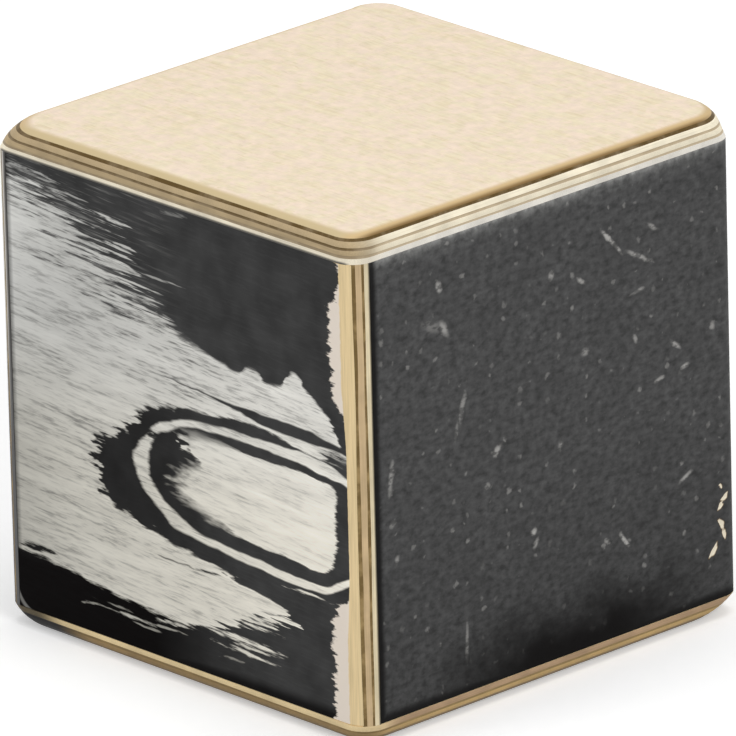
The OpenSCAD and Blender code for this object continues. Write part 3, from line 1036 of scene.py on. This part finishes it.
def figured_coat(name, shift, colours, sizes):
    """Black and white coats over birch, sanded through along the grain.

    The two coats meet in frayed streaks and in nested loops round a dip in the veneer,
    and the rounded corner is sanded to bare wood. The shift moves the figure over the panel.
    """
    material, add, place = start_material(name)
    axes = add("SeparateXYZ", (place,))
    height = axes.outputs["Z"]
    figure = start_figure(add, add("VectorMath", (place, shift), **PLUS), sizes)
    fibres = figure.grain["fibres"]
    rag_width, rag_height = 2.4, 0.7
    rags = add("VectorMath", (place, (1 / rag_width, 1 / rag_width, 1 / rag_height)), **TIMES)
    rags = add("TexNoise", {"Vector": rags, "Scale": 1.0, "Detail": 3.0, "Roughness": 0.6})
    rag = add("Math", (rags, 0.5), **MINUS)

    tone = figure_tone(figure)
    thin = add("MapRange", (fibres, -0.06, 0.2, 0.0, 1.0), **SMOOTH)
    black = black_paint(figure, height, thin, colours)
    white = white_paint(figure, height, thin, colours)
    colour = add("Mix", (tone, black, white), **COLOUR)
    colour = add("Mix", (white_ground(add, axes, rag), colour, colours["blush_coat"]), **COLOUR)
    colour = seam_shade_and_worn_corner(add, axes, colour, colours)
    colour = bare_corner(add, place, axes, rag, colour, colours, sizes)
    rough = add("MapRange", (fibres, -0.2, 0.2, 0.5, 0.68))
    relief = add("Math", (fibres, 0.6, tone), **TIMES_PLUS)
    shader = {"Base Color": colour, "Roughness": rough, "Specular IOR Level": 0.02}
    finish_material(add, shader, relief, 0.3, 0.04 * MM)
    return material


# Scuffs in the coat of a black panel, in millimetres:
# place along the panel, height, length, width, lean in degrees, strength
SCUFFS = (
    (10.2, 55.2, 3.4, 0.59, -48, 0.92),
    (12.0, 53.2, 2.0, 0.52, -48, 0.69),
    (15.3, 51.5, 4.4, 0.59, -30, 0.75),
    (17.9, 54.6, 2.0, 0.59, -35, 0.57),
    (5.5, 50.8, 1.6, 0.65, -38, 0.69),
    (0.5, 52.8, 1.2, 0.91, 60, 0.63),
    (-18.4, 56.2, 1.6, 0.91, -80, 0.75),
    (-17.7, 50.8, 2.6, 1.04, -60, 0.69),
    (-19.6, 51.6, 3.2, 1.56, -20, 0.29),
    (15.3, 46.9, 2.2, 0.59, 10, 0.57),
    (-14.9, 40.0, 4.4, 0.78, 76, 0.52),
    (-16.0, 37.0, 3.0, 0.59, 80, 0.34),
    (-27.1, 34.0, 4.4, 0.78, 80, 0.57),
    (-9.2, 32.8, 1.5, 1.04, 30, 0.75),
    (-11.0, 28.6, 0.9, 0.78, 0, 0.57),
    (6.0, 41.4, 1.4, 1.04, 0, 0.52),
    (14.6, 40.9, 1.4, 0.65, -75, 0.57),
    (21.4, 38.2, 2.2, 0.59, -38, 0.80),
    (18.6, 34.4, 1.6, 0.59, 10, 0.63),
    (23.0, 35.0, 1.2, 0.65, 10, 0.80),
    (27.8, 38.9, 0.9, 1.04, 0, 0.57),
    (-3.3, 20.4, 1.0, 0.91, 65, 0.92),
    (-3.0, 18.8, 1.6, 0.59, 65, 0.57),
    (12.1, 15.0, 2.4, 0.72, -55, 0.95),
    (9.0, 15.8, 1.0, 0.78, -30, 0.57),
    (22.7, 20.4, 2.4, 0.65, 27, 0.75),
    (-15.0, 9.4, 5.4, 0.59, 88, 0.46),
    (1.6, 30.6, 1.0, 1.04, 0, 0.46),
    (-27.0, 28.0, 1.2, 0.78, 40, 0.40),
    (-26.4, 23.2, 0.9, 0.91, 0, 0.52),
)


def pale_flecks(add, moved):
    """Soft pale flecks: one in each cell of a scatter, most of them too small to show."""
    cell_size, crook_size = 2.3, 0.8
    crooked = add("TexNoise", {"Vector": moved, "Scale": 1 / crook_size, "Detail": 2.0})
    crooked = add("VectorMath", (moved, crooked.outputs["Color"]), **PLUS)
    scatter = add("TexVoronoi", {"Vector": crooked, "Scale": 1 / cell_size}, voronoi_dimensions="2D")
    draw = add("SeparateColor", (scatter.outputs["Color"],))
    size = add("MapRange", (draw.outputs["Red"], 0.45, 1.0, 0.0, 0.2))
    pale = add("Math", (size, scatter.outputs["Distance"]), **MINUS)
    pale = add("MapRange", (pale, -0.04, 0.12, 0.0, 0.5), **SMOOTH)
    strength = add("MapRange", (draw.outputs["Green"], 0.0, 1.0, 0.1, 0.8))
    return add("Math", (pale, strength), **TIMES)


def lay_scuffs(add, flat, pale, marks, speckle, clumps):
    """Lays larger scuffs at their own places over the flecks, each broken into ragged dabs."""
    ragged = add("Math", (clumps, 1.4, 0.1), **TIMES_PLUS)
    dabs = add("MapRange", (speckle, 0.38, 0.56, 0.3, 1.0), **SMOOTH)
    for *oval, strength in marks:
        away = add("Math", (away_from_oval(add, flat, *oval), ragged), **TIMES)
        scuff = add("MapRange", (away, 0.2, 1.15, strength, 0.0), **SMOOTH)
        scuff = add("Math", (scuff, dabs), **TIMES)
        pale = add("Math", (pale, scuff), **LARGER)
    return pale


def worn_top(add, height, clumps, clouds):
    """Coat broken to its white ground in ragged dabs along the upper edge, over a haze that fades below."""
    above = add("Math", (height, HEAD), **MINUS)
    ragged = add("Math", (clouds, 1.6), **TIMES)
    ragged = add("Math", (clumps, 1.8, ragged), **TIMES_PLUS)
    wear = add("Math", (above, ragged), **PLUS)
    wear = add("MapRange", (wear, 1.5, 2.1, 0.0, 0.6), **SMOOTH)
    haze = add("Math", (2.0, add("Math", (above, 2.4), **TIMES)), **POWER)
    haze = add("Math", (haze, add("MapRange", (clumps, 0.35, 0.65, 0.2, 0.6))), **TIMES)
    return add("Math", (wear, haze), **LARGER)


def foot_and_seam_shade(add, along, height, clouds):
    """Painted shade: deeper black in a low arch along the bottom, deepest at the very edge, and beside the
    seam.
    """
    arch_middle, arch_half = 3.0, 26.0
    arch = add("Math", (along, arch_middle), **MINUS)
    arch = add("Math", (arch, arch_half), **OVER)
    arch = add("Math", (arch, 2.0), **POWER)
    arch = add("MapRange", (arch, 0.1, 0.9, 1.0, 0.0))
    drop = add("Math", (clouds, 0.5), **MINUS)
    drop = add("Math", (drop, 8.0, height), **TIMES_PLUS)
    deep = add("MapRange", (drop, FOOT + 10.0, FOOT + 1.2, 0.0, 0.97), **SMOOTH)
    foot_shade = add("Math", (deep, arch), **TIMES)
    edge = add("MapRange", (height, FOOT + 1.8, FOOT + 0.4, 0.0, 0.9), **SMOOTH)
    seam = add("MapRange", (along, BUTT + 0.4, BUTT + 1.4, 0.9, 0.0), **SMOOTH)
    for black in (edge, seam):
        foot_shade = add("Math", (foot_shade, black), **LARGER)
    return foot_shade


def bare_chips(add, axes, colour, colours, sizes):
    """Bare birch where a chip goes below the coat, measured from the rounded panel."""
    corner, coat = sizes.corner_radius / MM, sizes.coat_depth / MM
    past = add("Math", (axes.outputs["X"], BOX_W / 2 / MM - corner), **MINUS)
    past = add("Math", (past, 0.0), **LARGER)
    out = add("Math", (FRONT + corner, axes.outputs["Y"]), **MINUS)
    reach = add("VectorMath", (add("CombineXYZ", (past, out, 0.0)),), **LENGTH)
    depth = add("Math", (corner, reach), **MINUS)
    bare = add("MapRange", (depth, coat, 2 * coat, 0.0, 1.0), **SMOOTH)
    low, high = (level / MM for level in CHIP_ZONE)
    for start, end in ((low - 1, low), (high + 1, high)):
        within = add("MapRange", (axes.outputs["Z"], start, end, 0.0, 1.0))
        bare = add("Math", (bare, within), **TIMES)
    bed = add("MapRange", (depth, 1.6 * coat, 2.6 * coat, 0.0, 1.0))
    wood = add("Mix", (bed, colours["rim_brown"], colours["cream_cut"]), **COLOUR)
    return add("Mix", (bare, colour, wood), **COLOUR)


def black_coat(name, shift, marks, colours, sizes):
    """Black coat rolled over birch and rubbed matt in use.

    Dark grey and clouded by a soft speckle, with pale scuffs and flecks lying every way,
    painted shade toward the lower edge and beside the seam, and bare wood where it is chipped.
    The shift moves the speckle and the flecks over the panel.
    """
    material, add, place = start_material(name)
    axes = add("SeparateXYZ", (place,))
    along, height = axes.outputs["X"], axes.outputs["Z"]
    flat = add("CombineXYZ", (along, height, 0.0))
    moved = add("VectorMath", (flat, shift), **PLUS)
    # Pattern sizes in millimetres
    wrinkle_length, wrinkle_height = 1.2, 0.7
    clump_size, cloud_size = 1.3, 7.0

    wrinkled = add("VectorMath", (moved, (1 / wrinkle_length, 1 / wrinkle_height, 1.0)), **TIMES)
    speckle = add("TexNoise", {"Vector": wrinkled, "Scale": 1.0, "Detail": 2.0, "Roughness": 0.55})
    clumps = add("TexNoise", {"Vector": moved, "Scale": 1 / clump_size, "Detail": 3.0, "Roughness": 0.6})
    clouds = add("TexNoise", {"Vector": moved, "Scale": 1 / cloud_size, "Detail": 2.0})
    speckled = add("MapRange", (speckle, 0.34, 0.66, 0.0, 0.5))
    clumped = add("MapRange", (clumps, 0.36, 0.64, 0.0, 0.45))
    rubbed = add("Math", (speckled, clumped), **PLUS)
    rubbed = add("Math", (rubbed, add("MapRange", (clouds, 0.3, 0.7, 0.85, 1.2))), **TIMES)
    colour = add("Mix", (rubbed, colours["matt_black"], colours["charcoal"]), **COLOUR)
    # Painted shade: darker toward the bottom
    lower = add("MapRange", (height, FOOT + 6.0, FOOT + 26.0, 0.82, 1.0))
    colour = add("VectorMath", {"Vector": colour, "Scale": lower}, **SCALE)

    pale = lay_scuffs(add, flat, pale_flecks(add, moved), marks, speckle, clumps)
    for share, tint in (
            (pale, "scuff"),
            (worn_top(add, height, clumps, clouds), "grey_coat_and_shade"),
            (foot_and_seam_shade(add, along, height, clouds), "shade_black")):
        colour = add("Mix", (share, colour, colours[tint]), **COLOUR)
    colour = bare_chips(add, axes, colour, colours, sizes)
    rough = add("MapRange", (speckle, 0.3, 0.7, 0.48, 0.64))
    relief = add("Math", (speckle, pale), **MINUS)
    shader = {"Base Color": colour, "Roughness": rough, "Specular IOR Level": 0.05}
    finish_material(add, shader, relief, 0.25, 0.05 * MM)
    return material


def steel_shot(name, colours):
    """Tumbled carbon-steel shot: bright, with a haze of fine rubs and small dull spots."""
    material, add, place = start_material(name)
    rub_size = 0.5
    rubs = add("TexNoise", {"Vector": place, "Scale": 1 / rub_size, "Detail": 4.0, "Roughness": 0.7})
    dull = add("MapRange", (rubs, 0.45, 0.7, 0.75, 1.0))
    colour = add("VectorMath", {"Vector": colours["steel"][:3], "Scale": dull}, **SCALE)
    rough = add("MapRange", (rubs, 0.3, 0.7, 0.18, 0.4))
    shader = {"Base Color": colour, "Metallic": 1.0, "Roughness": rough}
    finish_material(add, shader, rubs, 0.15, 0.02 * MM)
    return material


def seen_directly(add):
    """1 where the camera sees a surface straight, by reflection or through glass, and 0 for other rays."""
    path = add("LightPath")
    seen = path.outputs["Is Camera Ray"]
    for ray in ("Is Glossy Ray", "Is Transmission Ray"):
        seen = add("Math", (seen, path.outputs[ray]), **LARGER)
    return seen


# Light that the floor gives off where it is seen, which brings it to white
FLOOR_GLOW = 0.3


def studio_floor(name, colours):
    """Matt white paper sweep: white where it is seen, and a grey for the light it throws back."""
    material, add, place = start_material(name)
    tooth_size = 2.0
    tooth = add("TexNoise", {"Vector": place, "Scale": 1 / tooth_size, "Detail": 2.0})
    tooth = add("MapRange", (tooth, 0.3, 0.7, 0.97, 1.0))
    paper = add("VectorMath", {"Vector": colours["floor"][:3], "Scale": tooth}, **SCALE)
    glow = add("Emission", {"Strength": FLOOR_GLOW})
    shown = add("AddShader", (add("BsdfDiffuse", {"Color": paper}), glow))
    thrown = add("BsdfDiffuse", {"Color": colours["floor_bounce"]})
    surface = add("MixShader", (seen_directly(add), thrown, shown))
    add("OutputMaterial", {"Surface": surface})
    return material


def palette():
    """The colours as plain values, by name."""
    group = bpy.context.scene.shaker_colours
    return {name: tuple(getattr(group, name)) for name in ShakerColours.__annotations__}


# The axis that the grain of each inner ply of a plate runs along, and the ply's colours:
# on the right side of the box, and on the other sides. The two are one wood painted lit and shaded,
# for how the light falls on each side
PLATE_WOODS = {
    "top": {
        "crossband": ("Y", "pale_cut_lit", "tan_cut_shaded"),
        "core_ply": ("X", "pale_cut_lit", "tan_cut_shaded"),
        "backing_ply": ("X", "cool_cut_lit", "cream_cut"),
    },
    "bottom": {
        "core_ply": ("X", "amber_cut_lit", "umber_cut_shaded"),
        "inner_veneer": ("Y", "rosy_cut", "straw_cut"),
    },
}


def plate_woods(plate, face, dark_patches, colours, sizes):
    """The materials of a plate's plies, from the face inwards, with the darker patches that lie on each inner
    ply.
    """
    woods = {"face_veneer": face}
    for ply, (axis, right_cut, other_cut) in PLATE_WOODS[plate].items():
        name = f"birch_{ply.split('_')[0]}_{plate}"
        cuts = colours[right_cut], colours[other_cut]
        woods[ply] = birch_cut(name, axis, *cuts, dark_patches.get(ply, ()), sizes)
    return woods


def side_woods(side, coat, core, inner, dark_patches, sizes):
    """The materials of a side panel's plies, from the coated face inwards."""
    return {
        "face_veneer": coat,
        "core_ply": birch_cut(f"birch_core_{side}", "Z", core, core, dark_patches, sizes),
        "inner_veneer": birch_cut(f"birch_inner_{side}", "Z", inner, inner, dark_patches, sizes),
    }


class SHAKER_OT_top_plate(bpy.types.Operator):
    """Add the four-ply top plate"""
    bl_idname = "shaker.top_plate"
    bl_label = "Top plate"

    def execute(self, context):
        sizes, colours = context.scene.shaker_sizes, palette()
        rims = (
            ("Y", 0.05, 0.42, "side_grain"),
            ("X", 0.06, 0.42, "gold_grain"),
            ("X", 0.38, 0.66, "end_grain"),
        )
        face = birch_face("birch_veneer_top", rims, (), colours, sizes)
        top = BOX_HIGH.z / MM
        # The glue lines are fainter lower down, and painted lighter on the right side, where the key light
        # falls
        faintness, right_painted_light = (top - 1.5, top - 2.6, 0.0, 0.45), (top - 0.9, top - 1.6, 0.0, 0.7)
        glue = glue_line("phenolic_glue_top", 0.2, faintness, right_painted_light, "glue_faint", (), colours)
        # The backing ply darkens to the black coat's colour along its lower edge, above the front panel
        dark_lower_edge = DarkPatch((0, FRONT, HEAD), (0, 0.6, 1), 0.12, 0.4, 0.9, colours["black_coat"])
        woods = plate_woods("top", face, {"backing_ply": (dark_lower_edge,)}, colours, sizes)
        add_plate("top", sizes.top_rim, woods, glue, sizes)
        return {"FINISHED"}


class SHAKER_OT_bottom_plate(bpy.types.Operator):
    """Add the three-ply bottom plate"""
    bl_idname = "shaker.bottom_plate"
    bl_label = "Bottom plate"

    def execute(self, context):
        sizes, colours = context.scene.shaker_sizes, palette()
        # Painted shadow: the plies darken to near-black round the front left corner, whose rounded underside
        # is in shade
        corner, evenly = BOX_LOW / MM, (1, 1, 1)
        outer = DarkPatch(corner, evenly, 9.0, 16.0, 1.0, colours["shade_black"])
        inner = DarkPatch(corner, evenly, 6.0, 12.0, 0.9, colours["shade_black"])
        # Painted shade: the face veneer turns dark brown where its rim rounds down toward the floor
        rims = [(axis, 0.2, 0.5, "rim_brown") for axis in "YX"]
        face = birch_face("birch_veneer_bottom", rims, (outer,), colours, sizes)
        glue = glue_line("phenolic_glue_bottom", 0.2, even(0.3), even(0.2), "glue_amber", (outer,), colours)
        dark_patches = {"core_ply": (outer,), "inner_veneer": (inner,)}
        woods = plate_woods("bottom", face, dark_patches, colours, sizes)
        add_plate("bottom", sizes.bottom_rim, woods, glue, sizes)
        return {"FINISHED"}


class SHAKER_OT_figured_panels(bpy.types.Operator):
    """Add the front and back panels, whose coats are sanded to a figure"""
    bl_idname = "shaker.figured_panels"
    bl_label = "Figured panels"

    def execute(self, context):
        sizes, colours = context.scene.shaker_sizes, palette()
        glue = glue_line("phenolic_glue_figured", 0.45, even(0.15), even(0.15), "glue_amber", (), colours)
        # Painted shade in the joint: each panel's plies darken along the joint where it laps the next one
        joint = DarkPatch((0, FRONT + SIDE_T / MM, 0), (0, 1, 0), 0.05, 0.3, 0.9, colours["shade_black"])
        for side, shift in (("front", (0, 0, 0)), ("back", (-9.0, 0, 4.0))):
            coat = figured_coat(f"sanded_coats_{side}", shift, colours, sizes)
            woods = side_woods(side, coat, colours["golden_cut"], colours["honey_cut"], (joint,), sizes)
            add_side(side, False, woods, glue, sizes)
        return {"FINISHED"}


class SHAKER_OT_black_panels(bpy.types.Operator):
    """Add the right and left panels, with their scuffed black coat"""
    bl_idname = "shaker.black_panels"
    bl_label = "Black panels"

    def execute(self, context):
        sizes, colours = context.scene.shaker_sizes, palette()
        glue = glue_line("phenolic_glue_black", 0.45, even(0.15), even(0.15), "glue_amber", (), colours)
        # The left panel's plies get painted shade along the joint where it laps the front panel, and painted
        # shade that deepens toward that corner's foot
        dark_patches = (
            DarkPatch((0, FRONT + SIDE_T / MM, 0), (0, 1, 0), 0.15, 0.75, 0.9, colours["shade_black"]),
            DarkPatch((BOX_W / 2 / MM, FRONT, 0), (1, 1, 1), 22.0, 46.0, 1.0, colours["charcoal"]),
        )
        mirrored = [(-along, up, long, wide, -lean, share) for along, up, long, wide, lean, share in SCUFFS]
        for side, shift, marks, core, inner, ply_shade in (
                ("right", (0, 0, 0), SCUFFS, "golden_cut", "honey_cut", ()),
                ("left", (90.0, 40.0, 0), mirrored, "ash_cut", "ash_cut", dark_patches)):
            coat = black_coat(f"rubbed_black_coat_{side}", shift, marks, colours, sizes)
            woods = side_woods(side, coat, colours[core], colours[inner], ply_shade, sizes)
            add_side(side, side == "right", woods, glue, sizes)
        return {"FINISHED"}


class SHAKER_OT_loose_shot(bpy.types.Operator):
    """Finish the loose steel shot inside the box"""
    bl_idname = "shaker.loose_shot"
    bl_label = "Loose shot"

    def execute(self, context):
        material = steel_shot("tumbled_steel_shot", palette())
        for name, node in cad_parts.items():
            if name.startswith("shot_"):
                node.data.materials.clear()
                node.data.materials.append(material)
        return {"FINISHED"}


# The camera, from the photograph's perspective: degrees and millimetres, and metres for what it can see
CAMERA_AZIMUTH = 46.92
CAMERA_ELEVATION = 20.20
CAMERA_ROLL = -1.47
CAMERA_DISTANCE = 1987.2
CAMERA_SENSOR = 36
CAMERA_LENS = 785.3
CAMERA_TARGET = (0.0, 0.0, 32.2)
CAMERA_OFFSET = (-0.048, 0.557)
CAMERA_CLIP = (0.1, 20.0)

# Soft lamps: name, place in metres, size in metres, power in watts
LAMPS = (
    ("key_lamp", (1.1, -0.25, 0.75), 0.7, 6.0),
    ("fill_lamp", (-0.5, -1.2, 0.7), 0.9, 5.5),
    ("top_lamp", (0.1, 0.2, 1.4), 0.9, 5.0),
)
# Light from the surroundings, which look brighter than the light they throw
WORLD_LIGHT = 0.45
WORLD_SEEN = 1.0
WHITE = (1.0, 1.0, 1.0, 1.0)

# Half the width of the floor, and its clear space below the box
FLOOR_REACH = 3.0
FLOOR_GAP = 0.02 * MM


def add_camera(scene):
    """Sets the camera at the photograph's viewing angle."""
    azimuth, elevation = math.radians(CAMERA_AZIMUTH), math.radians(CAMERA_ELEVATION)
    level = math.cos(elevation)
    back = Vector((math.sin(azimuth) * level, -math.cos(azimuth) * level, math.sin(elevation)))
    right = Vector((math.cos(azimuth), math.sin(azimuth), 0))
    upright = Matrix((right, back.cross(right), back)).transposed()
    turned = upright @ Matrix.Rotation(math.radians(CAMERA_ROLL), 3, "Z")
    place = Vector(CAMERA_TARGET) + back * CAMERA_DISTANCE
    place += turned.col[0] * CAMERA_OFFSET[0] + turned.col[1] * CAMERA_OFFSET[1]
    data = bpy.data.cameras.new("photo_camera")
    data.sensor_width = CAMERA_SENSOR
    data.lens = CAMERA_LENS
    data.clip_start, data.clip_end = CAMERA_CLIP
    camera = bpy.data.objects.new("photo_camera", data)
    camera.matrix_world = Matrix.Translation(place * MM) @ turned.to_4x4()
    scene.collection.objects.link(camera)
    scene.camera = camera


def add_floor(scene):
    """Lays the paper sweep under the box."""
    below = BOX_LOW.z - FLOOR_GAP
    data = bpy.data.meshes.new("floor")
    data.from_pydata([(x * FLOOR_REACH, y * FLOOR_REACH, below) for x, y in CORNER_SIGNS], [], [(0, 1, 2, 3)])
    data.materials.append(studio_floor("white_paper_sweep", palette()))
    floor = bpy.data.objects.new("floor", data)
    scene.collection.objects.link(floor)


def add_lamps(scene):
    """Hangs the soft lamps, each aimed at the middle of the box."""
    aim = (BOX_LOW + BOX_HIGH) / 2
    for name, place, size, power in LAMPS:
        lamp = bpy.data.lights.new(name, "AREA")
        lamp.shape = "DISK"
        lamp.size = size
        lamp.energy = power
        holder = bpy.data.objects.new(name, lamp)
        holder.location = place
        holder.rotation_euler = (aim - Vector(place)).to_track_quat("-Z", "Y").to_euler()
        holder.visible_camera = False
        scene.collection.objects.link(holder)


def add_surroundings(scene):
    """Surrounds the box with a white room."""
    world = bpy.data.worlds.new("white_room")
    world.use_nodes = True
    world.node_tree.nodes.clear()
    add = partial(add_node, world.node_tree)
    thrown = add("Background", {"Color": WHITE, "Strength": WORLD_LIGHT})
    shown = add("Background", {"Color": WHITE, "Strength": WORLD_SEEN})
    add("OutputWorld", {"Surface": add("MixShader", (seen_directly(add), thrown, shown))})
    scene.world = world


class SHAKER_OT_stage(bpy.types.Operator):
    """Add the floor, the soft lamps, the surroundings and the camera"""
    bl_idname = "shaker.stage"
    bl_label = "Stage"

    def execute(self, context):
        context.scene.view_settings.view_transform = "Standard"
        for add_part in (add_camera, add_floor, add_lamps, add_surroundings):
            add_part(context.scene)
        return {"FINISHED"}


PIECES = (
    SHAKER_OT_top_plate,
    SHAKER_OT_bottom_plate,
    SHAKER_OT_figured_panels,
    SHAKER_OT_black_panels,
    SHAKER_OT_loose_shot,
    SHAKER_OT_stage,
)


class SHAKER_PT_sidebar(bpy.types.Panel):
    """Lists the shaker's pieces, sizes and colours"""
    bl_idname = "SHAKER_PT_sidebar"
    bl_label = "Cube shaker"
    bl_space_type = "VIEW_3D"
    bl_region_type = "UI"
    bl_category = "Shaker"

    def draw(self, context):
        for piece in PIECES:
            self.layout.operator(piece.bl_idname)
        for group in (context.scene.shaker_sizes, context.scene.shaker_colours):
            column = self.layout.column()
            for name in type(group).__annotations__:
                column.prop(group, name)


CLASSES = (ShakerSizes, ShakerColours, *PIECES, SHAKER_PT_sidebar)


def register():
    """Adds the classes and the two groups of settings."""
    for item in CLASSES:
        bpy.utils.register_class(item)
    bpy.types.Scene.shaker_sizes = bpy.props.PointerProperty(type=ShakerSizes)
    bpy.types.Scene.shaker_colours = bpy.props.PointerProperty(type=ShakerColours)


def unregister():
    """Takes away what register adds."""
    del bpy.types.Scene.shaker_colours
    del bpy.types.Scene.shaker_sizes
    for item in reversed(CLASSES):
        bpy.utils.unregister_class(item)


def main():
    """Builds every piece."""
    register()
    for piece in PIECES:
        group, name = piece.bl_idname.split(".")
        getattr(getattr(bpy.ops, group), name)()


if __name__ == "__main__":
    main()
